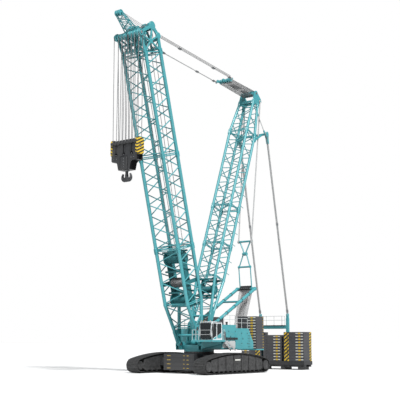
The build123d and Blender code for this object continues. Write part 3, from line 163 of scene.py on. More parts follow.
def slab(name: str, low: Point, high: Point, edge: float = 0.0, segments: int = 1) -> Piece:
    """A block between two corners, with bevelled edges.

    Args:
        name: Name of the new object.
        low: Lowest corner.
        high: Highest corner.
        edge: Width of the bevel, or none.
        segments: Steps of the bevel.

    Returns:
        The block.
    """
    deselect_all()
    size = [b - a for a, b in zip(low, high)]
    middle = [(b + a) / 2 for a, b in zip(low, high)]
    bpy.ops.mesh.primitive_cube_add(size=1, location=middle, scale=size)
    piece = bpy.context.object
    piece.name = name
    bpy.ops.object.transform_apply(location=True, rotation=True, scale=True)
    if edge:
        with editing():
            bpy.ops.mesh.bevel(offset=edge, segments=segments, affect="EDGES")
    return settle(piece)


def copy_of(piece: Piece, matrix: Matrix) -> Piece:
    """A copy with its own mesh, moved by a matrix.

    Args:
        piece: The object to copy.
        matrix: Where the copy goes, applied to the mesh.

    Returns:
        The copy.
    """
    twin = piece.copy()
    twin.data = piece.data.copy()
    twin.data.transform(matrix)
    bpy.context.collection.objects.link(twin)
    return twin


def join(name: str, pieces: Sequence[Piece]) -> Piece:
    """Join objects into one.

    Args:
        name: Name of the joined object.
        pieces: What goes into it.

    Returns:
        The joined object.
    """
    select_only(pieces)
    if len(pieces) > 1:
        bpy.ops.object.join()
    piece = bpy.context.view_layer.objects.active
    piece.name = name
    return piece


# --- camera, floor and light ---
@dataclass(frozen=True)
class Studio:
    """The plain pale studio round the machine."""

    distance: float = 95.769
    height: float = 3.433
    bearing: float = 37.579
    pitch: float = 8.743
    yaw: float = -0.061
    lens: float = 81.544
    ambient: float = 0.3

    def camera(self) -> None:
        """Place the camera at eye height, well in front of the left track."""
        theta, yaw = math.radians(self.bearing), math.radians(self.yaw)
        place = Vector((math.cos(theta) * self.distance, math.sin(theta) * self.distance, self.height))
        heading = Matrix.Rotation(yaw, 3, "Z") @ Vector((-math.cos(theta), -math.sin(theta), 0))
        look = heading * math.cos(math.radians(self.pitch)) + Vector((0, 0, math.sin(math.radians(self.pitch))))
        data = bpy.data.cameras.new("camera")
        data.lens, data.sensor_width, data.clip_end = self.lens, 36.0, 1000.0
        camera = bpy.data.objects.new("camera", data)
        camera.matrix_world = Matrix.Translation(place) @ look.to_track_quat("-Z", "Y").to_matrix().to_4x4()
        bpy.context.collection.objects.link(camera)
        bpy.context.scene.camera = camera

    def floor(self) -> None:
        """A pale floor that reads as one with the background."""
        deselect_all()
        bpy.ops.mesh.primitive_plane_add(size=900, location=(0, 0, 0))
        floor = bpy.context.object
        floor.name = "floor"
        material = bpy.data.materials.new("floor_paper")
        material.use_nodes = True
        shader = material.node_tree.nodes["Principled BSDF"]
        shader.inputs["Base Color"].default_value = (0.66, 0.66, 0.66, 1)
        shader.inputs["Roughness"].default_value = 0.9
        shader.inputs["Specular IOR Level"].default_value = 0.1
        floor.data.materials.append(material)

    def sky(self) -> None:
        """A white backdrop that lights the machine more dimly than it shows."""
        world = bpy.data.worlds.new("studio_sky")
        bpy.context.scene.world = world
        world.use_nodes = True
        use = Sockets(world.node_tree)
        backdrop = world.node_tree.nodes["Background"]
        backdrop.inputs["Color"].default_value = (1.0, 1.0, 1.0, 1)
        soft = use.add("ShaderNodeBackground")
        soft.inputs["Color"].default_value = (0.93, 0.97, 1.0, 1)
        soft.inputs["Strength"].default_value = self.ambient
        mix = use.add("ShaderNodeMixShader")
        use.link(use.add("ShaderNodeLightPath").outputs["Is Camera Ray"], mix.inputs[0])
        use.link(soft.outputs["Background"], mix.inputs[1])
        use.link(backdrop.outputs["Background"], mix.inputs[2])
        use.link(mix.outputs["Shader"], world.node_tree.nodes["World Output"].inputs["Surface"])

    def lights(self) -> None:
        """A large soft key from the left front and a weaker one from the right."""
        for name, energy, angle, turn in (
            ("key", 6.0, 9.0, (math.radians(44), 0, math.radians(152))),
            ("fill", 1.1, 40.0, (math.radians(60), 0, math.radians(85))),
        ):
            data = bpy.data.lights.new(name, "SUN")
            data.energy, data.angle = energy, math.radians(angle)
            light = bpy.data.objects.new(name, data)
            light.rotation_euler = turn
            bpy.context.collection.objects.link(light)

    def build(self) -> None:
        """Set up camera, floor and lights."""
        self.camera()
        self.floor()
        self.sky()
        self.lights()
        bpy.context.scene.view_settings.view_transform = "Standard"


# --- shader groups that several finishes share ---
class Sockets:
    """Short names for building a node tree by hand."""

    def __init__(self, tree: bpy.types.NodeTree) -> None:
        """Build in this tree."""
        self.tree = tree

    def add(self, kind: str, **values: object) -> Node:
        """Add a node and set plain properties on it.

        Args:
            kind: Type name of the node, such as ShaderNodeMath.
            values: Properties of the node.

        Returns:
            The node.
        """
        node = self.tree.nodes.new(kind)
        for key, value in values.items():
            setattr(node, key, value)
        return node

    def link(self, source: Socket, target: Socket) -> None:
        """Join two sockets."""
        self.tree.links.new(source, target)

    def noise(self, vector: Socket, scale: float, detail: float = 4.0) -> Socket:
        """A noise factor over the object.

        Args:
            vector: Where the noise is read.
            scale: Waves per metre.
            detail: Octaves.

        Returns:
            The factor socket.
        """
        node = self.add("ShaderNodeTexNoise")
        node.inputs["Scale"].default_value = scale
        node.inputs["Detail"].default_value = detail
        self.link(vector, node.inputs["Vector"])
        return node.outputs["Fac"]

    def spread(self, value: Socket, low: float, high: float, to_low: float = 0.0,
               to_high: float = 1.0) -> Socket:
        """Map a value's range to another, clamped.

        Args:
            value: The value.
            low: Start of its range.
            high: End of its range.
            to_low: What the start becomes.
            to_high: What the end becomes.

        Returns:
            The mapped value.
        """
        node = self.add("ShaderNodeMapRange")
        for socket, number in (("From Min", low), ("From Max", high), ("To Min", to_low), ("To Max", to_high)):
            node.inputs[socket].default_value = number
        self.link(value, node.inputs["Value"])
        return node.outputs["Result"]

    def math(self, operation: str, a: Socket | float, b: Socket | float) -> Socket:
        """A math node.

        Args:
            operation: Its operation.
            a: First value.
            b: Second value.

        Returns:
            The result.
        """
        node = self.add("ShaderNodeMath", operation=operation)
        for socket, value in zip(node.inputs, (a, b)):
            if isinstance(value, (int, float)):
                socket.default_value = value
            else:
                self.link(value, socket)
        return node.outputs["Value"]

    def blend(self, factor: Socket, low: object, high: object) -> Socket:
        """Mix two colours.

        Args:
            factor: Share of the second.
            low: First colour, a socket or RGB values.
            high: Second colour, a socket or RGB values.

        Returns:
            The mixed colour.
        """
        node = self.add("ShaderNodeMix", data_type="RGBA")
        self.link(factor, node.inputs["Factor"])
        for name, value in (("A", low), ("B", high)):
            socket = [s for s in node.inputs if s.name == name and s.type == "RGBA"][0]
            if isinstance(value, Socket):
                self.link(value, socket)
            else:
                socket.default_value = (*value, 1.0)
        return [s for s in node.outputs if s.type == "RGBA"][0]


def new_group(name: str, inputs: Iterable[tuple[str, float]],
              outputs: Iterable[str]) -> tuple[Sockets, Node, Node]:
    """Start a shader group whose inputs and outputs are numbers.

    Args:
        name: Name of the group.
        inputs: Name and default of each input.
        outputs: Name of each output.

    Returns:
        The group's helper and its input and output nodes.
    """
    tree = bpy.data.node_groups.new(name, "ShaderNodeTree")
    for label, value in inputs:
        socket = tree.interface.new_socket(name=label, in_out="INPUT", socket_type="NodeSocketFloat")
        socket.default_value = value
    for label in outputs:
        tree.interface.new_socket(name=label, in_out="OUTPUT", socket_type="NodeSocketFloat")
    return Sockets(tree), tree.nodes.new("NodeGroupInput"), tree.nodes.new("NodeGroupOutput")


def weathering() -> bpy.types.NodeTree:
    """Patchy dust and faint streaks, as masks and a fine bump.

    Returns:
        The shader group.
    """
    use, given, out = new_group("weathering", (("Patch Scale", 0.6), ("Grain Scale", 60.0)),
                                ("Patches", "Streaks", "Grain"))
    place = use.add("ShaderNodeTexCoord").outputs["Object"]
    patches = use.add("ShaderNodeTexNoise")
    patches.inputs["Detail"].default_value = 6.0
    use.link(place, patches.inputs["Vector"])
    use.link(given.outputs["Patch Scale"], patches.inputs["Scale"])
    use.link(use.spread(patches.outputs["Fac"], 0.42, 0.68), out.inputs["Patches"])
    squeeze = use.add("ShaderNodeMapping")
    squeeze.inputs["Scale"].default_value = (5.0, 5.0, 0.5)
    use.link(place, squeeze.inputs["Vector"])
    streak = use.noise(squeeze.outputs["Vector"], 2.2, 5.0)
    use.link(use.spread(streak, 0.5, 0.75), out.inputs["Streaks"])
    grain = use.add("ShaderNodeTexNoise")
    grain.inputs["Detail"].default_value = 2.0
    use.link(place, grain.inputs["Vector"])
    use.link(given.outputs["Grain Scale"], grain.inputs["Scale"])
    use.link(grain.outputs["Fac"], out.inputs["Grain"])
    return use.tree


def stripes() -> bpy.types.NodeTree:
    """Slanting hazard stripes on upright faces, with a width in metres.

    Returns:
        The shader group.
    """
    use, given, out = new_group("hazard_stripes", (("Width", 0.25), ("Lean", 1.0)), ("Stripe",))
    axes = use.add("ShaderNodeSeparateXYZ")
    use.link(use.add("ShaderNodeTexCoord").outputs["Object"], axes.inputs["Vector"])
    flat = use.math("ADD", axes.outputs["X"], axes.outputs["Y"])
    slant = use.math("ADD", use.math("MULTIPLY", flat, given.outputs["Lean"]), axes.outputs["Z"])
    saw = use.math("FRACT", use.math("DIVIDE", slant, given.outputs["Width"]), 0.0)
    use.link(use.math("GREATER_THAN", saw, 0.5), out.inputs["Stripe"])
    return use.tree


GROUPS: dict[str, bpy.types.NodeTree] = {}


def group_in(use: Sockets, name: str, **values: float) -> Node:
    """Place a shared group in a material.

    Args:
        use: The material's helper.
        name: The group's name.
        values: Its inputs, with spaces written as underscores.

    Returns:
        The group node.
    """
    node = use.add("ShaderNodeGroup")
    node.node_tree = GROUPS[name]
    for key, value in values.items():
        node.inputs[key.replace("_", " ")].default_value = value
    return node


# --- finishes ---
@dataclass(frozen=True)
class Paint:
    """Sprayed paint on steel, with dust in patches and a slightly uneven gloss."""

    name: str
    colour: Point
    dusty: Point
    gloss: float = 0.32
    dust: float = 0.25
    coat: float = 0.4
    bump: float = 0.02
    grain: float = 40.0
    shine: float = 0.5

    def material(self) -> bpy.types.Material:
        """Build the material.

        Returns:
            The material.
        """
        material, use, shader = blank_material(self.name)
        worn = group_in(use, "weathering", Patch_Scale=0.45, Grain_Scale=self.grain)
        worst = use.math("MAXIMUM", worn.outputs["Patches"], worn.outputs["Streaks"])
        mask = use.math("MULTIPLY", worst, self.dust)
        use.link(use.blend(mask, self.colour, self.dusty), shader.inputs["Base Color"])
        rough = use.math("ADD", use.math("MULTIPLY", mask, 0.45), self.gloss)
        uneven = use.spread(worn.outputs["Grain"], 0.3, 0.7, -0.03, 0.03)
        use.link(use.math("ADD", rough, uneven), shader.inputs["Roughness"])
        shader.inputs["Coat Weight"].default_value = self.coat
        shader.inputs["Coat Roughness"].default_value = 0.15
        shader.inputs["Specular IOR Level"].default_value = self.shine
        add_bump(use, shader, worn.outputs["Grain"], self.bump)
        return material


@dataclass(frozen=True)
class BareSteel:
    """Oiled or forged steel with soft mottling."""

    name: str
    colour: Point
    dark: Point
    rough: float = 0.42
    metal: float = 0.85
    scale: float = 9.0
    bump: float = 0.06

    def material(self) -> bpy.types.Material:
        """Build the material.

        Returns:
            The material.
        """
        material, use, shader = blank_material(self.name)
        worn = group_in(use, "weathering", Patch_Scale=self.scale * 0.2, Grain_Scale=self.scale * 8)
        place = use.add("ShaderNodeTexCoord").outputs["Object"]
        mottle = use.spread(use.noise(place, self.scale, 6.0), 0.3, 0.7)
        use.link(use.blend(mottle, self.dark, self.colour), shader.inputs["Base Color"])
        rough = use.math("ADD", use.math("MULTIPLY", worn.outputs["Patches"], 0.22), self.rough)
        use.link(rough, shader.inputs["Roughness"])
        shader.inputs["Metallic"].default_value = self.metal
        add_bump(use, shader, worn.outputs["Grain"], self.bump)
        return material


@dataclass(frozen=True)
class Striped:
    """Hazard stripes painted on a plate."""

    name: str
    light: Point
    dark: Point
    width: float = 0.28
    lean: float = 1.0

    def material(self) -> bpy.types.Material:
        """Build the material.

        Returns:
            The material.
        """
        material, use, shader = blank_material(self.name)
        bars = group_in(use, "hazard_stripes", Width=self.width, Lean=self.lean)
        worn = group_in(use, "weathering", Patch_Scale=1.4, Grain_Scale=50.0)
        paint = use.blend(bars.outputs["Stripe"], self.dark, self.light)
        dirty = use.blend(use.math("MULTIPLY", worn.outputs["Streaks"], 0.3), paint, (0.16, 0.15, 0.13))
        use.link(dirty, shader.inputs["Base Color"])
        use.link(use.spread(worn.outputs["Patches"], 0, 1, 0.4, 0.6), shader.inputs["Roughness"])
        add_bump(use, shader, worn.outputs["Grain"], 0.02)
        return material


@dataclass(frozen=True)
class Glazing:
    """Tinted cab glass."""

    name: str
    tint: Point
    clear: float = 0.75

    def material(self) -> bpy.types.Material:
        """Build the material.

        Returns:
            The material.
        """
        material, use, shader = blank_material(self.name)
        shader.inputs["Base Color"].default_value = (*self.tint, 1)
        shader.inputs["Transmission Weight"].default_value = self.clear
        shader.inputs["IOR"].default_value = 1.45
        shader.inputs["Coat Weight"].default_value = 0.6
        worn = group_in(use, "weathering", Patch_Scale=1.0, Grain_Scale=30.0)
        use.link(use.spread(worn.outputs["Patches"], 0, 1, 0.03, 0.12), shader.inputs["Roughness"])
        return material


@dataclass(frozen=True)
class Rope:
    """Wire rope, with strands that wind round its length."""

    name: str
    colour: Point
    dark: Point

    def material(self) -> bpy.types.Material:
        """Build the material.

        Returns:
            The material.
        """
        material, use, shader = blank_material(self.name)
        place = use.add("ShaderNodeTexCoord").outputs["Object"]
        wave = use.add("ShaderNodeTexWave", wave_type="BANDS", bands_direction="DIAGONAL")
        wave.inputs["Scale"].default_value = 14.0
        wave.inputs["Distortion"].default_value = 1.5
        use.link(place, wave.inputs["Vector"])
        use.link(use.blend(wave.outputs["Fac"], self.dark, self.colour), shader.inputs["Base Color"])
        use.link(use.spread(wave.outputs["Fac"], 0, 1, 0.55, 0.4), shader.inputs["Roughness"])
        shader.inputs["Metallic"].default_value = 0.3
        add_bump(use, shader, wave.outputs["Fac"], 0.2)
        return material


def blank_material(name: str) -> tuple[bpy.types.Material, Sockets, Node]:
    """A new material with its node helper and its shader.

    Args:
        name: Name of the material.

    Returns:
        The material, the helper and the Principled BSDF.
    """
    material = bpy.data.materials.new(name)
    material.use_nodes = True
    return material, Sockets(material.node_tree), material.node_tree.nodes["Principled BSDF"]


def add_bump(use: Sockets, shader: Node, height: Socket, strength: float) -> None:
    """Feed a height through a Bump node into the shader.

    Args:
        use: The material's helper.
        shader: The shader.
        height: The height.
        strength: How strong it is.
    """
    bump = use.add("ShaderNodeBump")
    bump.inputs["Strength"].default_value = strength * 5
    bump.inputs["Distance"].default_value = 0.01
    use.link(height, bump.inputs["Height"])
    use.link(bump.outputs["Normal"], shader.inputs["Normal"])


class Finish(Enum):
    """Every finish on the machine."""

    TEAL = Paint("teal_enamel", (0.038, 0.225, 0.25), (0.10, 0.23, 0.24), gloss=0.44, dust=0.2, coat=0.12)
    # The teal darkened as painted shade, for the winch bays that sit in shade inside the boom and the mast.
    DEEP_TEAL = Paint("deep_teal_enamel", (0.012, 0.105, 0.118), (0.05, 0.13, 0.135), gloss=0.48, dust=0.3,
                      coat=0.0, shine=0.3)
    WHITE = Paint("cab_white", (0.52, 0.56, 0.57), (0.42, 0.43, 0.42), gloss=0.32, dust=0.12)
    SLAB = Paint("slab_grey", (0.036, 0.037, 0.042), (0.08, 0.078, 0.076), gloss=0.55, dust=0.4, coat=0.0,
                 bump=0.08, grain=22.0)
    BLACK = Paint("black_enamel", (0.018, 0.019, 0.021), (0.05, 0.048, 0.046), gloss=0.45, dust=0.3, coat=0.05)
    # Near-black paint with little shine: painted shade for the hook block's openings, panel gaps and the walls
    # under its shoulders.
    RECESS = Paint("recess_black", (0.004, 0.004, 0.005), (0.01, 0.01, 0.01), gloss=0.7, dust=0.2, coat=0.0,
                   shine=0.08)
    LABEL = Paint("label_plate", (0.5, 0.5, 0.46), (0.36, 0.33, 0.28), gloss=0.45, dust=0.2, coat=0.0)
    LABEL_YELLOW = Paint("label_plate_yellow", (0.45, 0.3, 0.03), (0.32, 0.26, 0.12), gloss=0.45, dust=0.2,
                         coat=0.0)
    RAIL = Paint("rail_white", (0.36, 0.38, 0.38), (0.28, 0.28, 0.27), gloss=0.4, dust=0.2)
    TRACK = BareSteel("track_cast_steel", (0.058, 0.058, 0.059), (0.022, 0.022, 0.022), rough=0.45, metal=0.35,
                      scale=5.0)
    STEEL = BareSteel("machined_steel", (0.33, 0.34, 0.35), (0.2, 0.21, 0.22), rough=0.35, metal=0.9)
    DARK_STEEL = BareSteel("oiled_steel", (0.06, 0.062, 0.066), (0.028, 0.029, 0.032), rough=0.4, metal=0.5)
    STAY = BareSteel("stay_steel", (0.4, 0.4, 0.4), (0.26, 0.26, 0.262), rough=0.5, metal=0.2)
    GLASS = Glazing("cab_glass", (0.012, 0.016, 0.018), 0.3)
    ROPE = Rope("wire_rope", (0.16, 0.162, 0.165), (0.06, 0.061, 0.064))
    HAZARD = Striped("hazard_plate", (0.5, 0.34, 0.02), (0.01, 0.01, 0.011), width=0.32, lean=0.5)
    HAZARD_FRONT = Striped("hazard_front", (0.5, 0.34, 0.02), (0.01, 0.01, 0.011), width=0.42, lean=-0.8)
    SEAT = Paint("seat_vinyl", (0.03, 0.03, 0.032), (0.08, 0.08, 0.08), gloss=0.6, dust=0.1, coat=0.0,
                 bump=0.12, grain=120.0)

    @property
    def slot(self) -> str:
        """The record's material slot that this finish belongs to."""
        return FINISH_SLOTS.get(self.name, "grey_paint")

    def get(self) -> bpy.types.Material:
        """The finish's material, built on first use."""
        return bpy.data.materials.get(self.value.name) or self.value.material()


def dress(piece: Piece, finish: Finish) -> Piece:
    """Give an object one finish all over.

    Args:
        piece: The object.
        finish: Its finish.

    Returns:
        The same object.
    """
    piece.data.materials.clear()
    piece.data.materials.append(finish.get())
    return piece


FINISH_SLOTS: dict[str, str] = {
    "TEAL": "teal_paint", "DEEP_TEAL": "teal_paint", "WHITE": "white_paint", "RAIL": "white_paint",
    "LABEL": "white_paint", "STEEL": "steel", "DARK_STEEL": "steel", "STAY": "steel", "ROPE": "steel",
    "TRACK": "track_iron", "GLASS": "glass", "SEAT": "seat_plastic",
}


# --- stock: shapes that are modelled once and copied wherever they are used ---
def span(start: Point, end: Point, radius: float) -> Matrix:
    """The matrix that lays a unit rod between two points.

    Args:
        start: One end.
        end: The other end.
        radius: Radius of the rod.

    Returns:
        The matrix.
    """
    a, b = Vector(start), Vector(end)
    turn = Vector((0, 0, 1)).rotation_difference(b - a).to_matrix().to_4x4()
    return Matrix.Translation(a) @ turn @ Matrix.Diagonal((radius, radius, (b - a).length, 1.0))


class Stock:
    """Keeps each stock shape, hands out copies and clears the originals away at the end."""

    def __init__(self) -> None:
        """Start with an empty rack."""
        self.shapes: dict[tuple, Piece] = {}

    def once(self, key: tuple, make: Callable[[], Piece]) -> Piece:
        """The stock shape of this key, modelled on first use.

        Args:
            key: What tells it apart.
            make: Models it.

        Returns:
            The original, which is not to be used as a piece.
        """
        if key not in self.shapes:
            self.shapes[key] = make()
        return self.shapes[key]

    def rod(self, start: Point, end: Point, radius: float, sides: int = 10) -> Piece:
        """A round bar between two points.

        Args:
            start: One end.
            end: The other end.
            radius: Its radius.
            sides: Number of faces round it.

        Returns:
            The bar.
        """
        unit = self.once(("rod", sides), lambda: tube("rod_stock", (0, 0, 0), (0, 0, 1), 1.0, sides))
        return copy_of(unit, span(start, end, radius))

    def bolt(self, place: Point, axis: Point, radius: float = 0.03) -> Piece:
        """A hexagon bolt head.

        Args:
            place: Where it sits.
            axis: Which way it points.
            radius: Radius of the head.

        Returns:
            The bolt head.
        """
        unit = self.once(("bolt",), lambda: tube("bolt_stock", (0, 0, 0), (0, 0, 0.7), 1.0, 6, lip=0.12))
        turn = Vector((0, 0, 1)).rotation_difference(Vector(axis)).to_matrix().to_4x4()
        return copy_of(unit, Matrix.Translation(place) @ turn @ Matrix.Scale(radius, 4))

    def clear(self) -> None:
        """Remove the originals."""
        for piece in self.shapes.values():
            bpy.data.objects.remove(piece, do_unlink=True)
        self.shapes.clear()


STOCK = Stock()


def layer(wall: float, side: int, inner: float, outer: float) -> Pair:
    """Both faces of a layer that lies off a wall, the lower one first.

    Args:
        wall: Where the wall is.
        side: Which way is out, 1 or -1.
        inner: How far out the layer starts.
        outer: How far out it ends.

    Returns:
        The two places.
    """
    near, far = sorted((side * inner, side * outer))
    return wall + near, wall + far


def shifted(outline: Iterable[Pair], across: float, up: float) -> list[Pair]:
    """An outline moved across and up."""
    return [(a + across, b + up) for a, b in outline]


def plate(name: str, outline: Sequence[Pair], low: float, high: float, edge: float = 0.0,
          axis: str = "Y") -> Piece:
    """A plate cut to an outline.

    Args:
        name: Name of the new object.
        outline: Its corners in X and Z, or in Y and Z if its axis is X.
        low: Its lower face along the axis.
        high: Its upper face along the axis.
        edge: Width of the bevel round it, or none.
        axis: Which way it is thick, X or Y.

    Returns:
        The plate.
    """
    deselect_all()
    bpy.ops.mesh.primitive_circle_add(vertices=len(outline), radius=1, fill_type="NGON")
    piece = bpy.context.object
    piece.name = name
    for corner, (across, up) in zip(piece.data.vertices, outline):
        corner.co = (across, low, up) if axis == "Y" else (low, across, up)
    shift = (0, high - low, 0) if axis == "Y" else (high - low, 0, 0)
    with editing():
        bpy.ops.mesh.extrude_region_move(TRANSFORM_OT_translate={"value": shift})
        bpy.ops.mesh.select_all(action="SELECT")
        bpy.ops.mesh.normals_make_consistent(inside=False)
        if edge:
            bpy.ops.mesh.bevel(offset=edge, segments=1, affect="EDGES")
    return settle(piece)


def open_ends(piece: Piece) -> None:
    """Delete the edge of a closed profile that joins its last corner to its first.

    Args:
        piece: The profile, as a circle of corners.
    """
    ends = {0, len(piece.data.vertices) - 1}
    with editing():
        bpy.ops.mesh.select_all(action="DESELECT")
    for edge in piece.data.edges:
        edge.select = set(edge.vertices) == ends
    bpy.ops.object.mode_set(mode="EDIT")
    bpy.ops.mesh.select_mode(type="EDGE")
    bpy.ops.mesh.delete(type="EDGE")
    bpy.ops.mesh.select_mode(type="VERT")
    bpy.ops.object.mode_set(mode="OBJECT")


def turned(name: str, profile: Sequence[Pair], centre: Point, axis: Point = (0, 1, 0), steps: int = 28,
           ring: bool = False) -> Piece:
    """A piece turned on a lathe.

    Args:
        name: Name of the new object.
        profile: Radius and place along the axis, from one end to the other.
        centre: The middle of the axis.
        axis: Direction of the axis.
        steps: Faces round it.
        ring: Whether the profile closes on itself, as on a ring with a bore.

    Returns:
        The turned piece.
    """
    deselect_all()
    bpy.ops.mesh.primitive_circle_add(vertices=len(profile), radius=1, fill_type="NOTHING")
    piece = bpy.context.object
    piece.name = name
    for corner, (radius, along) in zip(piece.data.vertices, profile):
        corner.co = (radius, 0, along)
    if not ring:
        open_ends(piece)
    with editing():
        bpy.ops.mesh.spin(steps=steps, angle=2 * math.pi, center=(0, 0, 0), axis=(0, 0, 1))
        bpy.ops.mesh.select_all(action="SELECT")
        bpy.ops.mesh.remove_doubles(threshold=1e-5)
        bpy.ops.mesh.normals_make_consistent(inside=False)
    turn = Vector((0, 0, 1)).rotation_difference(Vector(axis)).to_matrix().to_4x4()
    piece.data.transform(Matrix.Translation(centre) @ turn)
    return settle(piece)


def bent(name: str, points: Sequence[Point], radius: float, taper: Sequence[float] = (),
         sides: int = 4) -> Piece:
    """A round bar bent along a smooth curve.

    Args:
        name: Name of the new object.
        points: What the curve follows.
        radius: Radius of the bar.
        taper: Share of the radius at each point, or none.
        sides: A quarter of the faces round it, less one.

    Returns:
        The bar, as a mesh.
    """
    deselect_all()
    bpy.ops.curve.primitive_nurbs_path_add()
    piece = bpy.context.object
    piece.name = name
    piece.data.splines.clear()
    spline = piece.data.splines.new("NURBS")
    spline.points.add(len(points) - 1)
    for i, (node, point) in enumerate(zip(spline.points, points)):
        node.co = (*point, 1.0)
        node.radius = taper[i] if taper else 1.0
    spline.order_u, spline.use_endpoint_u, spline.resolution_u = 3, True, 4
    piece.data.bevel_depth, piece.data.bevel_resolution, piece.data.use_fill_caps = radius, sides, True
    bpy.ops.object.convert(target="MESH")
    return settle(bpy.context.object)


def ring_of(piece: Piece, count: int, centre: Point, axis: str = "Y") -> list[Piece]:
    """Copies of a piece round an axis.

    Args:
        piece: The first one.
        count: How many there are in all.
        centre: A point of the axis.
        axis: Its letter.

    Returns:
        All of them, the first included.
    """
    there = Matrix.Translation(centre)
    back = there.inverted()
    turns = [there @ Matrix.Rotation(2 * math.pi * i / count, 4, axis) @ back for i in range(1, count)]
    return [piece] + [copy_of(piece, turn) for turn in turns]


def sheave(radius: float, bore: float, thick: float) -> Piece:
    """A grooved sheave on the Y axis, from stock.

    Args:
        radius: Over its flanges.
        bore: Radius of the shaft hole.
        thick: Width over its flanges.

    Returns:
        The original, at the origin.
    """
    half, groove, web = thick / 2, 0.86 * radius, 0.24 * thick
    rim, hub = 0.78 * radius, bore + 0.25 * (radius - bore)
    profile = [(radius, half), (radius, 0.8 * half), (groove, 0.25 * half), (groove, -0.25 * half),
               (radius, -0.8 * half), (radius, -half), (rim, -half), (rim - 0.02, -web), (hub + 0.02, -web),
               (hub, -half), (bore, -half), (bore, half), (hub, half), (hub + 0.02, web), (rim - 0.02, web),
               (rim, half)]
    return turned("sheave_stock", profile, (0, 0, 0), ring=True)


# --- frames and places that several sub-assemblies share ---
PIVOTS: dict[str, Point] = {joint["name"]: tuple(joint["pos_m"])
                            for joint in frame["record"]["behaviour"]["joints"]}


@dataclass(frozen=True)
class StrutFrame:
    """The own frame of a boom or mast: X along it, Y across it, Z towards its upper side."""

    pivot: str
    angle: float

    @property
    def matrix(self) -> Matrix:
        """From the strut's frame to the machine's."""
        return Matrix.Translation(PIVOTS[self.pivot]) @ Matrix.Rotation(-math.radians(self.angle), 4, "Y")

    def at(self, along: float, across: float, out: float) -> Vector:
        """A point of the machine from a place on the strut."""
        return self.matrix @ Vector((along, across, out))


BOOM = StrutFrame("boom_luff", 74.64)
MAST = StrutFrame("mast_luff", 109.99)
BOOM_GUIDE = (32.65, 0.52)  # the guide sheaves: along the boom, and out from its middle
BOOM_TIP = (34.17, -2.5)  # the tip strut's sheaves
MAST_HEAD = (28.48, -0.28)  # the mast's head sheaves
MAST_HALF = 1.209  # from the mast's middle to its chords
LIVE_FOOT = PIVOTS["live_mast_follow"]
LIVE_HEAD = (-8.69, 0, 9.04)  # the live mast's sheaves
BLOCK_PLACES = (-1.5, -1.06, -0.63, -0.21, 0.21, 0.63, 1.06, 1.5)  # the hook block's sheaves, across
NOSE_PLACES = (-1.65, -1.05, -0.63, -0.21, 0.21, 0.63, 1.05, 1.65)


@dataclass
class SubAssembly(ABC):
    """What every sub-assembly shares: it models its pieces and keeps them."""

    pieces: list[Piece] = field(default_factory=list, init=False)

    @abstractmethod
    def build(self) -> None:
        """Model every piece and dress it."""

    def finished(self, name: str, parts: Sequence[Piece], finish: Finish) -> Piece:
        """Join parts to one dressed piece and list it.

        Args:
            name: Name of the piece.
            parts: What it is joined from.
            finish: Its finish.

        Returns:
            The piece.
        """
        piece = dress(join(name, parts), finish)
        finish.slot
        self.pieces.append(piece)
        return piece

    def keep(self, name: str, parts: Sequence[Piece], finish: Finish, body: str, replaces: Sequence[str] = (),
             strut: StrutFrame | None = None) -> None:
        """Finish a piece that rides on one body.

        Args:
            name: Name of the piece.
            parts: What it is joined from.
            finish: Its finish.
            body: The body that it rides on.
            replaces: Nodes that it stands for.
            strut: The strut in whose frame the parts were modelled, or none.
        """
        piece = self.finished(name, parts, finish)
        if strut:
            piece.data.transform(strut.matrix)
        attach(piece, body)
        if replaces:
            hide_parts(*replaces)

    def stretch(self, name: str, parts: Sequence[Piece], finish: Finish, bodies: tuple[str, str],
                ends: tuple[Point, Point]) -> None:
        """Finish ropes that reach from one body to a jointed neighbour; they are joined, dressed and listed, and
        ride on neither body.

        Args:
            name: Name of the piece.
            parts: The ropes.
            finish: Their finish.
            bodies: Not used.
            ends: Not used.
        """
        piece = self.finished(name, parts, finish)
        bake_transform(piece)


# --- lattice of boom and mast ---
@dataclass(frozen=True)
class LatticeRun:
    """Four chords and the tubes that lace them, straight or tapering."""

    span: Pair
    width: Pair
    depth: Pair
    chord: float
    lace: float
    bay: float
    with_chords: bool = True

    def node(self, along: float, side: int, level: int) -> Vector:
        """A point on a chord.

        Args:
            along: Distance from the start of the run.
            side: Left 1 or right -1.
            level: Upper 1 or lower -1.

        Returns:
            The point, in the strut's frame.
        """
        share = along / (self.span[1] - self.span[0])
        wide = self.width[0] + (self.width[1] - self.width[0]) * share
        deep = self.depth[0] + (self.depth[1] - self.depth[0]) * share
        return Vector((self.span[0] + along, side * wide / 2, level * deep / 2))

    def build(self) -> list[Piece]:
        """Cut and place every tube.

        Returns:
            The tubes, in the strut's frame.
        """
        length = self.span[1] - self.span[0]
        tubes = []
        if self.with_chords:
            for side, level in CORNERS:
                start, end = self.node(0, side, level), self.node(length, side, level)
                tubes.append(STOCK.rod(start, end, self.chord, 20))
        start, stop = 3.2 * self.lace, length - 3.2 * self.lace
        count = max(2, round((stop - start) / self.bay))
        steps = [start + (stop - start) * i / count for i in range(count + 1)]
        for fixed in SIDES:
            for i, (low, high) in enumerate(zip(steps, steps[1:])):
                turn = fixed if i % 2 else -fixed
                tubes.append(STOCK.rod(self.node(low, fixed, turn), self.node(high, fixed, -turn), self.lace))
                tubes.append(STOCK.rod(self.node(low, -turn, fixed), self.node(high, turn, fixed), self.lace))
            for post in (1.4 * self.lace, length - 1.4 * self.lace):
                tubes.append(STOCK.rod(self.node(post, fixed, -1), self.node(post, fixed, 1), self.lace))
                tubes.append(STOCK.rod(self.node(post, -1, fixed), self.node(post, 1, fixed), self.lace))
        return tubes


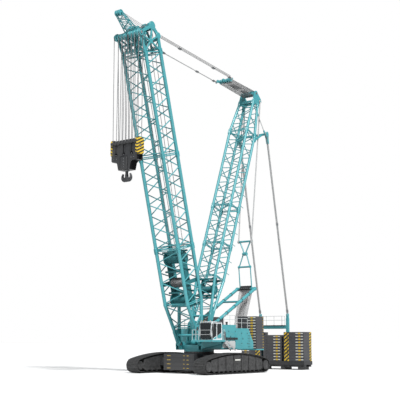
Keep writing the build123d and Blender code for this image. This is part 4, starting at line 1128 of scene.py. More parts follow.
@dataclass
class Lattice(SubAssembly):
    """The sections of a boom or mast, with their foot forks and pin joints."""

    name: str = "boom"
    strut: StrutFrame = BOOM
    width: float = 2.912
    depth: float = 2.365
    chord: float = 0.18
    lace: float = 0.058
    bay: float = 1.15
    taper: float = 4.4  # from the foot pin to the full depth
    fork: float = 1.5  # from the foot pin to the end of the foot plates
    foot_thick: float = 0.3
    sections: tuple[tuple[str, float, float], ...] = (
        ("boom_butt", 1.5, 10.1), ("boom_insert_lower", 10.1, 19.6), ("boom_top", 19.6, 30.1))
    top: Pair | None = None  # width and depth at the end of the last section
    braces: tuple[float, ...] = ()

    def foot(self) -> list[Piece]:
        """Foot plates, tapered chords and their lacing.

        Returns:
            The parts, in the strut's frame.
        """
        half, deep, end = self.width / 2, self.depth / 2, self.sections[0][2]
        slope = math.atan2(deep, self.taper)
        out = deep * self.fork / self.taper
        across, rise = self.chord * math.sin(slope), self.chord * math.cos(slope)
        corners = [(self.fork - s * across, out + s * rise) for s in (1, -1)]
        outline = [(0, 0.24), *corners, *[(u, -n) for u, n in reversed(corners)], (0, -0.24)]
        boss = [(0.0, -0.5), (0.11, -0.5), (0.25, -0.5), (0.262, -0.46), (0.262, 0.46), (0.25, 0.5), (0.0, 0.5)]
        collar = [(0, -0.09), (self.chord + 0.012, -0.08), (self.chord + 0.012, 0.08), (0, 0.09)]
        parts = []
        for side in SIDES:
            y = side * half
            thick = self.foot_thick / 2
            parts.append(plate("foot_plate", outline, y - thick, y + thick, edge=0.02))
            parts.append(turned("boss", [(r, t * self.foot_thick) for r, t in boss], (0, y, 0)))
            for level in SIDES:
                bend = (self.taper, y, level * deep)
                parts.append(STOCK.rod((self.fork - 0.05, y, level * out), bend, self.chord, 20))
                parts.append(STOCK.rod(bend, (end, y, level * deep), self.chord, 20))
                parts.append(turned("collar", collar, bend, axis=(1, 0, 0), steps=20))
        tie = 0.62 * self.fork
        parts.append(STOCK.rod((tie, -half, 0), (tie, half, 0), 0.45 * self.chord + 0.05, 16))
        near = self.fork + 0.26
        narrow = self.depth * near / self.taper
        for reach, start in (((near, self.taper), narrow), ((self.taper, end), self.depth)):
            parts += LatticeRun(reach, (self.width, self.width), (start, self.depth), self.chord, self.lace,
                                self.bay, with_chords=False).build()
        return parts

    def pin_joint(self) -> Piece:
        """The fork, tongue and pin that couple two chords.

        Returns:
            The joint, at the origin of the strut's frame.
        """
        reach, high = 0.34, self.chord + 0.035
        outline = [(-reach, -high), (reach * 0.6, -high), (reach, -high * 0.5), (reach, high * 0.5),
                   (reach * 0.6, high), (-reach, high)]
        cheek = self.chord * 0.55
        parts = [plate("fork_cheek", outline, s * cheek - 0.035, s * cheek + 0.035, edge=0.012) for s in SIDES]
        tongue = [(-u, n) for u, n in reversed(outline)]
        parts.append(plate("tongue", tongue, -cheek * 0.45, cheek * 0.45, edge=0.012))
        parts.append(tube("pin", (0.06, -cheek - 0.11, 0), (0.06, cheek + 0.11, 0), 0.07, 14, lip=0.012))
        return join("pin_joint", parts)

    def build(self) -> None:
        """Model every section and its joints."""
        joint = STOCK.once(("pin_joint", self.name), self.pin_joint)
        half, deep = self.width / 2, self.depth / 2
        for index, (node, low, high) in enumerate(self.sections):
            tapers = self.top and index == len(self.sections) - 1
            end = self.top if tapers else (self.width, self.depth)
            if index == 0:
                parts = self.foot()
            else:
                parts = LatticeRun((low, high), (self.width, end[0]), (self.depth, end[1]), self.chord, self.lace,
                                   self.bay).build()
            for side, level in CORNERS:
                corner = (high - 0.02, side * end[0] / 2, level * end[1] / 2)
                parts.append(copy_of(joint, Matrix.Translation(corner)))
            for along in self.braces:
                if low < along < high:
                    parts.append(STOCK.rod((along, -half, -deep), (along, half, deep), self.lace))
                    parts.append(STOCK.rod((along, half, -deep), (along, -half, deep), self.lace))
            self.keep(f"{node}_tubes", parts, Finish.TEAL, self.name, (node,), self.strut)


# --- sheaves and ropes ---
@dataclass
class SheaveRoll(SubAssembly):
    """Grooved sheaves side by side on one shaft along Y."""

    node: str = "nose_sheaves"
    body: str = "nose"
    centre: Point = (0.0, 0.0, 0.0)
    radius: float = 0.325
    shaft: float = 0.09
    thick: float = 0.11
    places: tuple[float, ...] = ()
    half: float = 1.77
    finish: Finish = Finish.TEAL
    with_shaft: bool = True

    def build(self) -> None:
        """Model the sheaves and their shaft."""
        x, _, z = self.centre
        sizes = (self.radius, self.shaft, self.thick)
        stock = STOCK.once(("sheave", *sizes), lambda: sheave(*sizes))
        wheels = [copy_of(stock, Matrix.Translation((x, y, z))) for y in self.places]
        self.keep(f"{self.node}_grooved", wheels, self.finish, self.body, replaces=(self.node,))
        if self.with_shaft:
            wide, tall = self.shaft + 0.05, 0.045
            cap = [(0.0, 0.0), (wide, 0.0), (wide, 0.025), (self.shaft + 0.02, tall), (0.0, tall)]
            ends = [turned("cap", cap, (x, side * (self.half - tall), z), (0, side, 0), 20) for side in SIDES]
            shaft = tube("shaft", (x, -self.half + 0.02, z), (x, self.half - 0.02, z), self.shaft, 20, lip=0.01)
            self.keep(f"{self.node}_shaft", [shaft, *ends], Finish.STEEL, self.body)


@dataclass
class HoistRopes(SubAssembly):
    """The falls between the boom's nose and the hook block, and the lines up the boom."""

    rope: float = 0.032
    thin_rope: float = 0.02
    nose_radius: float = 0.29
    block_radius: float = 0.41
    guide_radius: float = 0.31
    drum: Pair = (9.0, 0.55)
    leads: tuple[Pair, ...] = ((-1.1, -0.75), (-0.6, -0.3), (0.6, 0.3), (1.1, 0.75))  # across: guide, drum

    def build(self) -> None:
        """Model every line."""
        nose, block = PIVOTS["nose_level"], PIVOTS["hoist"]
        falls = []
        for high, low in zip(NOSE_PLACES, BLOCK_PLACES):
            for side in SIDES:
                falls.append(STOCK.rod((nose[0] + side * self.nose_radius, high, nose[2]),
                                       (block[0] + side * self.block_radius, low, block[2]), self.rope, 8))
        self.stretch("hoist_falls", falls, Finish.ROPE, ("nose", "hook_block"), (nose, block))
        lines = []
        along, out = BOOM_GUIDE
        for y, drum_y in self.leads:
            high = BOOM.at(along - 0.05, y, out + self.guide_radius)
            lines.append(STOCK.rod(BOOM.at(self.drum[0], drum_y, self.drum[1]), high, self.rope, 8))
            over = BOOM.at(along + self.guide_radius, y, out)
            low = Vector((nose[0] - 0.1, y * 0.97, nose[2] + self.nose_radius))
            lines.append(STOCK.rod(over, low, self.rope, 8))
        along, out = BOOM_TIP
        for y in (-0.3, -0.18, -0.06, 0.06, 0.18, 0.3):
            start, end = BOOM.at(along, y, out + 0.29), BOOM.at(32.3, y * 2.6, 1.0)
            lines.append(STOCK.rod(start, end, self.thin_rope, 8))
        for i in range(9):
            y = 0.3 + 0.055 * i
            lines.append(STOCK.rod(BOOM.at(8.9, y, 0.45), BOOM.at(6.5, y, 0.5), self.thin_rope, 8))
        self.keep("boom_lines", lines, Finish.ROPE, "boom")


@dataclass
class BoomTackle(SubAssembly):
    """The tackle between mast head and equalizer, with the lines and links of the boom stays."""

    rope: float = 0.028
    reach: float = 0.72
    falls: int = 12
    spread: float = 0.24
    line_lifts: Pair = (0.13, 0.25)
    link_shares: tuple[float, ...] = (0.27, 0.72, 0.035)
    link_length: float = 0.42

    def ropes(self, head: Vector, middle: Vector) -> list[Piece]:
        """The falls of the tackle.

        Args:
            head: Middle of the mast's head sheaves.
            middle: Middle of the equalizer.

        Returns:
            The ropes.
        """
        along = (middle - head).normalized()
        up = Vector((-along.z, 0, along.x))
        ropes = []
        for i in range(self.falls):
            y = self.reach * (2 * i / (self.falls - 1) - 1)
            for side in SIDES:
                start, end = head + up * side * self.spread * 1.2, middle + up * side * self.spread * 0.8
                ropes.append(STOCK.rod((start.x, y, start.z), (end.x, y, end.z), self.rope, 6))
        return ropes

    def link(self, start: Vector, end: Vector, y: float) -> list[Piece]:
        """A pair of link plates and their two pins.

        Args:
            start: Where one pin is.
            end: Where the other pin is.
            y: Where the link is, across.

        Returns:
            The plates and pins.
        """
        outline = [(start.x, start.z - 0.09), (end.x, end.z - 0.09), (end.x + 0.06, end.z), (end.x, end.z + 0.09),
                   (start.x, start.z + 0.09), (start.x - 0.06, start.z)]
        parts = [plate("link", outline, y + s * 0.07 - 0.012, y + s * 0.07 + 0.012, edge=0.006) for s in SIDES]
        for at in (start, end):
            parts.append(tube("link_pin", (at.x, y - 0.11, at.z), (at.x, y + 0.11, at.z), 0.035, 12, lip=0.006))
        return parts

    def build(self) -> None:
        """Model the ropes, the lines and the links."""
        low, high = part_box("equalizer")
        middle = Vector(((low[0] + high[0]) / 2 - 0.12, 0, (low[2] + high[2]) / 2))
        lug = Vector(PIVOTS["stay_turn"])
        ropes = self.ropes(MAST.at(MAST_HEAD[0], 0, MAST_HEAD[1]), middle)
        self.keep("tackle_ropes", ropes, Finish.ROPE, "stays")
        low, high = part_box("boom_stays")
        bar_y = (high[1] - low[1]) / 2 - 0.055
        run = (lug - middle).normalized()
        off = Vector((-run.z, 0, run.x))
        lines, links = [], []
        for lift in self.line_lifts:
            a, b = middle + run * 0.5 + off * lift, lug - run * 0.35 + off * lift
            lines.append(STOCK.rod((a.x, bar_y, a.z), (b.x, bar_y, b.z), self.rope, 8))
        self.keep("stay_lines", lines, Finish.ROPE, "stays")
        for side in SIDES:
            for share in self.link_shares:
                start = middle + (lug - middle) * share
                links += self.link(start, start + run * self.link_length, side * bar_y)
        self.keep("stay_links", links, Finish.STEEL, "stays")


@dataclass
class LuffingRopes(SubAssembly):
    """The bundle between the live mast's head and the luffing winch."""

    rope: float = 0.024
    count: int = 15
    wide: float = 0.68
    narrow: float = 0.5
    winch: Pair = (-6.95, 3.45)

    def build(self) -> None:
        """Model the ropes."""
        low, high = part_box("live_mast_sheaves")
        x, z = (low[0] + high[0]) / 2, (low[2] + high[2]) / 2
        foot_x, foot_z = self.winch
        ropes = []
        for i in range(self.count):
            share = 2 * i / (self.count - 1) - 1
            for side in SIDES:
                ropes.append(STOCK.rod((foot_x + side * 0.2, share * self.narrow, foot_z + 0.2),
                                       (x + side * 0.3, share * self.wide, z - 0.1), self.rope, 6))
        ends = ((foot_x, 0, foot_z), (x, 0, z))
        self.stretch("luffing_ropes", ropes, Finish.ROPE, ("upper_works", "live_mast"), ends)


@dataclass
class RopeDrum(SubAssembly):
    """Wound rope on a winch drum and the bolts of its flanges."""

    name: str = "winch"
    body: str = "upper_works"
    centre: Point = (0.0, 0.0, 0.0)
    half: float = 0.85
    radius: float = 0.4
    flange: float = 0.56
    rope: float = 0.034
    layers: float = 0.05

    def build(self) -> None:
        """Model the wound rope and the flanges' bolts."""
        bottom, crown = self.radius + self.layers, self.radius + self.layers + 0.7 * self.rope
        profile = [(self.radius - 0.02, -self.half)]
        for i in range(int(2 * self.half / (2 * self.rope))):
            low = -self.half + 2 * self.rope * i
            profile += [(bottom, low + 0.1 * self.rope), (crown, low + 0.6 * self.rope),
                        (crown, low + 1.4 * self.rope), (bottom, low + 1.9 * self.rope)]
        profile.append((self.radius - 0.02, self.half))
        coil = turned("coil", profile, self.centre, ring=True, steps=24)
        self.keep(f"{self.name}_rope", [coil], Finish.ROPE, self.body)
        x, _, z = self.centre
        bolts = []
        for side in SIDES:
            first = STOCK.bolt((x + self.flange * 0.82, side * (self.half + 0.09), z), (0, side, 0), 0.028)
            bolts += ring_of(first, 12, self.centre)
        self.keep(f"{self.name}_bolts", bolts, Finish.STEEL, self.body)


# --- hook block ---
@dataclass
class HookBlock(SubAssembly):
    """The lower block: striped end plates, sheeted cheeks, rope guards and the double hook."""

    centre: Point = PIVOTS["hoist"]
    half: float = 1.76
    depth: float = 0.53
    low: float = 2.27  # from the axle down to the underside
    hook_low: float = 2.97  # from the axle down to the middle of the hook
    horn: float = 0.27  # radius of each horn's curve
    horn_tip: tuple[Point, ...] = ((2.02, 0.1, 0.66), (1.92, 0.22, 0.58), (1.66, 0.36, 0.46))  # out, up, thick
    rail_up: float = 0.4  # from the axle up to the guard rails
    slot_places: tuple[float, ...] = (-1.0, 0.0, 1.0)

    def rounded(self, half: float, low: float, high: float, radius: float) -> list[Pair]:
        """A rectangle with round corners, about the block's axle.

        Args:
            half: Half its width.
            low: Underside, from the axle.
            high: Top, from the axle.
            radius: Radius of the corners.

        Returns:
            The corners of the outline.
        """
        corners = []
        for side, z, start in ((1, high, 0), (-1, high, 90), (-1, low, 180), (1, low, 270)):
            inside = z - radius if z > 0 else z + radius
            for step in range(6):
                turn = math.radians(start + 18 * step)
                corners.append((self.centre[0] + side * (half - radius) + radius * math.cos(turn),
                                self.centre[2] + inside + radius * math.sin(turn)))
        return corners

    def ends(self) -> None:
        """Striped end plates with an axle cap in each."""
        x, _, z = self.centre
        outline = self.rounded(self.depth - 0.02, -0.84, 0.82, 0.26)
        backing = self.rounded(self.depth - 0.04, -0.92, 0.8, 0.28)
        cap = [(0.0, 0.0), (0.17, 0.0), (0.17, 0.012), (0.15, 0.02), (0.0, 0.02)]
        plates, backs, caps = [], [], []
        for side in SIDES:
            inner, middle, outer = side * (self.half - 0.3), side * (self.half - 0.24), side * (self.half - 0.02)
            plates.append(plate("striped_end", outline, min(middle, outer), max(middle, outer), edge=0.01))
            backs.append(plate("end_backing", backing, min(inner, middle), max(inner, middle), edge=0.015))
            caps.append(turned("axle_cap", cap, (x, side * (self.half - 0.022), z), (0, side, 0), 20))
        self.keep("block_striped_ends", plates, Finish.HAZARD, "hook_block")
        self.keep("block_end_backing", backs, Finish.BLACK, "hook_block")
        self.keep("block_axle_caps", caps, Finish.DARK_STEEL, "hook_block")

    def cheeks(self) -> None:
        """The sheeted frame between the end plates, with painted shade: near-black plates in the gaps round its
        panels and on the walls under its shoulders.
        """
        x, _, z = self.centre
        edge = self.half - 0.12
        right = [(edge, 0.5), (edge, -1.3), (edge - 0.14, -1.42), (1.1, -1.45), (0.9, -1.6), (0.74, -self.low)]
        outline = shifted([(-y, up) for y, up in right] + right[::-1], 0, z)
        gap = shifted([(-0.5, -2.24), (0.5, -2.24), (0.5, -1.0), (0.44, -0.94), (-0.44, -0.94), (-0.5, -1.0)],
                      0, z)
        panel = shifted([(-0.44, -2.24), (0.44, -2.24), (0.44, -1.03), (0.4, -0.99), (-0.4, -0.99), (-0.44, -1.03)],
                        0, z)
        parts, walls = [], []
        for face in SIDES:
            parts.append(plate("cheek", outline, *layer(x, face, 0.43, 0.47), edge=0.012, axis="X"))
            # A near-black sheet behind each panel: painted shade in the gap round it.
            walls.append(plate("panel_gap", gap, *layer(x, face, 0.46, 0.474), axis="X"))
            parts.append(plate("cheek_panel", panel, *layer(x, face, 0.46, 0.505), edge=0.012, axis="X"))
        bottom = z - self.low
        parts.append(slab("trunnion", (x - 0.43, -0.72, bottom), (x + 0.43, 0.72, bottom + 0.42), edge=0.03))
        for y in (-1.28, -0.84, -0.42, 0.0, 0.42, 0.84, 1.28):
            low, high = (x - 0.42, y - 0.018, z - 1.38), (x + 0.42, y + 0.018, z + 0.42)
            parts.append(slab("partition", low, high, 0.008))
        for side in SIDES:
            inner, outer = sorted((side * 0.98, side * (edge - 0.05)))
            parts.append(slab("shoulder", (x - 0.43, inner, z - 1.4), (x + 0.43, outer, z - 1.34), edge=0.02))
            # The slanted wall under each shoulder is painted near-black as shade under the overhang.
            wall = [(side * y, up) for y, up in ((1.0, -1.4), (0.93, -1.4), (0.69, -self.low), (0.76, -self.low))]
            walls.append(plate("wall", shifted(wall, 0, z), x - 0.42, x + 0.42, edge=0.01, axis="X"))
        self.keep("block_cheeks", parts, Finish.BLACK, "hook_block", replaces=("block_frame",))
        self.keep("block_walls", walls, Finish.RECESS, "hook_block")

    def guards(self) -> None:
        """Rope guards along the top of both faces, and the ribs beside the slots."""
        x, _, z = self.centre
        up = z + self.rail_up
        rim = [(0.14, -0.12), (0.19, -0.1), (0.2, -0.08), (0.2, 0.08), (0.19, 0.1), (0.14, 0.12)]
        collar = turned("guard_collar", rim, (0, 0, 0), steps=14, ring=True)
        rib = [(-0.025, 0.3), (0.025, 0.3), (0.025, -0.6), (-0.025, -0.6)]
        rails, ribs = [], []
        for face in SIDES:
            rail_x = x + face * 0.47
            rails.append(tube("guard_rail", (rail_x, -self.half + 0.1, up), (rail_x, self.half - 0.1, up), 0.15, 20,
                              lip=0.01))
            for y in (-1.42, -1.06, -0.63, -0.21, 0.21, 0.63, 1.06, 1.42):
                rails.append(copy_of(collar, Matrix.Translation((rail_x, y, up))))
            for y in self.slot_places:
                for across in (y - 0.1, y + 0.1):
                    ribs.append(plate("rib", shifted(rib, across, z), *layer(x, face, 0.465, 0.54), 0.008, "X"))
        bpy.data.objects.remove(collar, do_unlink=True)
        self.keep("block_rope_guards", rails + ribs, Finish.BLACK, "hook_block")

    def slots(self) -> None:
        """Slots painted as the shade of openings, combs in the same near-black, and bolts on both faces."""
        x, _, z = self.centre
        comb = [(-0.15, 0.5), (0.15, 0.5), (0.09, 0.66), (-0.09, 0.66)]
        slot = [(-0.09, 0.25), (-0.08, -0.55), (-0.16, -0.66), (-0.15, -0.86), (0.15, -0.86), (0.16, -0.66),
                (0.08, -0.55), (0.09, 0.25)]
        slots, bolts = [], []
        for face in SIDES:
            for y in (-1.24, -0.84, -0.42, 0.0, 0.42, 0.84, 1.24):
                slots.append(plate("comb", shifted(comb, y, z), *layer(x, face, 0.36, 0.5), edge=0.01, axis="X"))
            for y in self.slot_places:
                # Each slot is a thin plate of painted shade laid on the face, not a cut.
                slots.append(plate("slot", shifted(slot, y, z), *layer(x, face, 0.465, 0.475), axis="X"))
                bolts.append(STOCK.bolt((x + face * 0.474, y, z - 0.78), (face, 0, 0), 0.05))
            bolts += [STOCK.bolt((x + face * 0.503, 0, z - 1.2 - 0.27 * i), (face, 0, 0), 0.045)
                      for i in range(4)]
            bolts += [STOCK.bolt((x + face * 0.472, y, z - 1.15), (face, 0, 0), 0.04)
                      for y in (-1.3, -0.95, 0.95, 1.3)]
        self.keep("block_slots", slots, Finish.RECESS, "hook_block")
        self.keep("block_bolts", bolts, Finish.STEEL, "hook_block")

    def hook(self) -> None:
        """The forged double hook under its nut."""
        x, _, z = self.centre
        middle = z - self.hook_low - 0.02
        shank = [(0.0, -0.05), (0.19, 0.0), (0.175, 0.25), (0.148, 0.4), (0.148, 1.19), (0.12, 1.22), (0.0, 1.22)]
        parts = [turned("shank", shank, (x, 0, middle - 0.02), (0, 0, 1), 24)]
        for side in SIDES:
            path, taper = [], []
            for step in range(10):
                turn = math.radians(180 + 20 * step)
                path.append((x, side * self.horn * (1 + math.cos(turn)), middle + self.horn * math.sin(turn)))
                taper.append(1.0 - 0.03 * step)
            for out, up, share in self.horn_tip:
                path.append((x, side * self.horn * out, middle + up))
                taper.append(share)
            parts.append(bent("horn", path, 0.2, taper, 6))
        belly = [(0.0, -0.45), (0.2, -0.41), (0.34, -0.3), (0.42, -0.16), (0.44, -0.04), (0.3, 0.0), (0.0, 0.02)]
        core = turned("belly", belly, (0, 0, 0), (0, 0, 1), 28)
        core.data.transform(Matrix.Translation((x, 0, middle)) @ Matrix.Diagonal((0.5, 1.0, 1.0, 1.0)))
        parts.append(core)
        self.keep("hook_forged", parts, Finish.DARK_STEEL, "hook_body", replaces=("hook",))
        nut = [(0.15, 0.0), (0.24, 0.0), (0.26, 0.02), (0.26, 0.08), (0.24, 0.1), (0.15, 0.1)]
        collar = turned("collar", nut, (x, 0, z - self.low - 0.11), (0, 0, 1), 24, ring=True)
        self.keep("hook_collar", [collar], Finish.STEEL, "hook_block")

    def build(self) -> None:
        """Model the whole block."""
        self.ends()
        self.cheeks()
        self.guards()
        self.slots()
        self.hook()


# --- tracks ---
@dataclass
class Tracks(SubAssembly):
    """Track shoes with their links, end hubs and frame details."""

    side_y: float = 4.31  # from the machine's middle to a track's
    wheelbase: float = 9.96
    wheel_z: float = 0.8
    loop: float = 0.72  # radius of the chain's outside round an end wheel
    arch: float = 2.11  # height of the upper run at its middle
    ground: float = 8.0  # length that lies flat
    shoes: int = 76  # on each track
    width: float = 1.5
    frame_width: float = 1.22

    def path(self) -> list[Vector]:
        """The outside of the shoes as a closed line in X and Z, clockwise from the top.

        Returns:
            The points of the line.
        """
        half, drop, steps = self.wheelbase / 2, self.arch - self.wheel_z, 24
        radius = (half ** 2 + (drop - self.loop) * (drop + self.loop)) / (2 * (drop - self.loop))
        middle = self.arch - radius
        lean = math.atan2(half, self.wheel_z - middle)
        ramp = self.ground / 2
        reach = math.hypot(self.wheel_z, half - ramp)
        rise = math.atan2(self.loop, math.sqrt(reach ** 2 - self.loop ** 2))
        down = -math.pi / 2 + math.atan2(self.wheel_z, half - ramp) - rise
        right = [(radius * math.sin(lean * i / steps), middle + radius * math.cos(lean * i / steps))
                 for i in range(steps)]
        for i in range(steps + 1):
            turn = (math.pi / 2 - lean) + (down - math.pi / 2 + lean) * i / steps
            right.append((half + self.loop * math.cos(turn), self.wheel_z + self.loop * math.sin(turn)))
        right.append((ramp, 0.0))
        left = [(-x, z) for x, z in reversed(right)]
        return [Vector((x, 0, z)) for x, z in right + left[:-1]]

    def places(self) -> list[Matrix]:
        """Where each shoe sits: X along the track, Z outwards.

        Returns:
            The matrix of each shoe, for a track on the machine's middle.
        """
        points = self.path()
        closed = points + points[:1]
        runs = [(b - a).length for a, b in zip(closed, closed[1:])]
        step, total, index, spots = sum(runs) / self.shoes, 0.0, 0, []
        for k in range(self.shoes):
            while total + runs[index] < k * step:
                total += runs[index]
                index += 1
            along = (closed[index + 1] - closed[index]).normalized()
            spots.append(closed[index] + along * (k * step - total))
        frames = []
        for spot, after in zip(spots, spots[1:] + spots[:1]):
            along = (after - spot).normalized()
            out = Vector((-along.z, 0, along.x))
            axes = Matrix((along, Vector((0, 1, 0)), out)).transposed().to_4x4()
            frames.append(Matrix.Translation((spot + after) / 2) @ axes)
        return frames

    def shoe(self) -> Piece:
        """One shoe with its raised edge, its two link lugs and four bolts.

        Returns:
            The shoe, at the origin.
        """
        half = self.width / 2
        section = [(-0.14, -0.085), (0.13, -0.085), (0.145, -0.07), (0.145, -0.05), (0.1, -0.045), (0.08, -0.004),
                   (0.03, -0.004), (0.01, -0.045), (-0.09, -0.045), (-0.1, -0.02), (-0.13, -0.02), (-0.14, -0.05)]
        link = [(-0.14, -0.06), (-0.165, -0.1), (-0.13, -0.165), (0.13, -0.165), (0.165, -0.1), (0.14, -0.06)]
        parts = [plate("shoe_plate", section, -half, half)]
        parts += [plate("link", link, y - 0.07, y + 0.07) for y in (-0.36, 0.36)]
        parts += [STOCK.bolt((-0.04, y, -0.047), (0, 0, 1), 0.03) for y in (-0.62, -0.5, 0.5, 0.62)]
        return join("shoe_stock", parts)

    def chains(self) -> None:
        """Both chains of shoes."""
        shoe = self.shoe()
        frames = self.places()
        for side, name in ((1, "left"), (-1, "right")):
            across = Matrix.Translation((0, side * self.side_y, 0))
            shoes = [copy_of(shoe, across @ spot) for spot in frames]
            self.keep(f"track_shoes_{name}", shoes, Finish.TRACK, "undercarriage", replaces=(f"track_{name}",))
        bpy.data.objects.remove(shoe, do_unlink=True)

    def hubs(self) -> None:
        """Bolted covers on the end drives, lightening holes and a blank plate on each frame."""
        half, z = self.wheelbase / 2, self.wheel_z
        cap = [(0.0, 0.0), (0.43, 0.0), (0.43, 0.01), (0.4, 0.02), (0.25, 0.02), (0.23, 0.028), (0.0, 0.028)]
        ring = [(0.05, 0.0), (0.075, 0.0), (0.075, 0.02), (0.05, 0.02)]
        covers, bolts, holes, plates = [], [], [], []
        for side in SIDES:
            face = side * (self.side_y + self.frame_width / 2)
            for x in (-half, half):
                covers.append(turned("cover", cap, (x, face + side * 0.11, z), (0, side, 0), 28))
                first = STOCK.bolt((x + 0.34, face + side * 0.118, z), (0, side, 0), 0.026)
                bolts += ring_of(first, 14, (x, face, z))
            for x in (-2.64, -1.32, 0.0, 1.32, 2.64):
                holes.append(turned("hole_ring", ring, (x, face, 1.0), (0, side, 0), 14, ring=True))
            near, far = layer(face, side, 0, 0.012)
            plates.append(slab("blank_plate", (-0.45, near, 1.32), (0.45, far, 1.44), edge=0.004))
        self.keep("track_drive_covers", covers, Finish.TRACK, "undercarriage")
        self.keep("track_drive_bolts", bolts, Finish.DARK_STEEL, "undercarriage")
        self.keep("track_frame_rings", holes, Finish.TRACK, "undercarriage")
        self.keep("track_frame_plates", plates, Finish.LABEL, "undercarriage")

    def build(self) -> None:
        """Model the tracks' details."""
        self.chains()
        self.hubs()


# --- ballast slabs ---
@dataclass(frozen=True)
class Stack:
    """Where the marks of one stack of slabs go."""

    node: str
    body: str
    layers: int
    label: Pair  # from and to, across the front face
    stripe: Pair | None = None  # hazard stripe on the front face
    rear: bool = False  # hazard stripe at the rear end of the outer face
    ticks: bool = False  # small marks at the rear end of the outer face


@dataclass
class Ballast(SubAssembly):
    """Blank label plates, hazard stripes and lifting lugs on every slab."""

    stacks: tuple[Stack, ...] = (
        Stack("ballast_stack_left", "ballast", 10, (3.2, 4.24), (1.7, 2.3), rear=True),
        Stack("ballast_stack_right", "ballast", 10, (-4.24, -3.2), (-2.3, -1.7), rear=True),
        Stack("ballast_stack_centre", "ballast", 9, (0.2, 1.14)),
        Stack("counterweight_left", "upper_works", 12, (2.78, 3.8), ticks=True),
        Stack("counterweight_right", "upper_works", 12, (-3.8, -2.78), ticks=True),
    )
    proud: float = 0.008
    weight_marks: tuple[Pair, ...] = ((-1.5, -1.05), (0.62, 0.78), (1.05, 1.3))  # from and to, across
    weight_layers: int = 4
    names: dict[Finish, str] = field(default_factory=lambda: {
        Finish.LABEL: "white_plates", Finish.LABEL_YELLOW: "yellow_plates", Finish.HAZARD_FRONT: "front_stripes",
        Finish.HAZARD: "side_stripes", Finish.SLAB: "lugs"})

    def stack(self, row: Stack) -> dict[Finish, list[Piece]]:
        """The marks of one stack.

        Args:
            row: Where its marks go.

        Returns:
            The plates by finish.
        """
        low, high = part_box(row.node)
        height = (high[2] - low[2]) / row.layers
        side = 1 if low[1] + high[1] > 0.5 else -1
        near, far = layer(high[1] if side > 0 else low[1], side, 0, self.proud)
        front, flush = high[0], high[0] + self.proud
        made = {finish: [] for finish in self.names}
        third = (row.label[1] - row.label[0]) / 3
        for i in range(row.layers):
            z = low[2] + (i + 0.5) * height
            bottom, top = z - height / 2 + 0.012, z + height / 2 - 0.03
            for part, finish in enumerate((Finish.LABEL, Finish.LABEL_YELLOW, Finish.LABEL)):
                y = row.label[0] + third * part
                tall = 0.045 if finish is Finish.LABEL else 0.085
                left, right = y + 0.02, y + third - 0.02
                made[finish].append(slab("mark", (front, left, z - tall), (flush, right, z + tall)))
            if row.stripe:
                left, right = row.stripe
                made[Finish.HAZARD_FRONT].append(slab("stripe", (front, left, bottom), (flush, right, top)))
            if row.rear:
                stripe = slab("stripe", (low[0] + 0.04, near, bottom), (low[0] + 0.46, far, top))
                made[Finish.HAZARD].append(stripe)
            if row.ticks:
                tick = slab("tick", (low[0] + 0.06, near, z - 0.035), (low[0] + 0.2, far, z + 0.035))
                made[Finish.LABEL_YELLOW].append(tick)
            for y in (low[1] + 0.5, high[1] - 0.5):
                if not row.label[0] - 0.1 < y < row.label[1] + 0.1:
                    lug = shifted([(-0.09, 0.02), (0.09, 0.02), (0.06, 0.11), (-0.06, 0.11)], y, z)
                    made[Finish.SLAB].append(plate("lug", lug, front, front + 0.045, axis="X"))
        return made

    def build(self) -> None:
        """Put the marks on every stack."""
        for row in self.stacks:
            for finish, parts in self.stack(row).items():
                if parts:
                    self.keep(f"{row.node}_{self.names[finish]}", parts, finish, row.body)
        low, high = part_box("car_body_weights")
        marks = []
        for i in range(self.weight_layers):
            z = low[2] + (i + 0.5) * (high[2] - low[2]) / self.weight_layers
            for left, right in self.weight_marks:
                marks.append(slab("mark", (high[0], left, z - 0.022), (high[0] + self.proud, right, z + 0.022)))
        self.keep("car_body_weight_plates", marks, Finish.LABEL_YELLOW, "undercarriage")


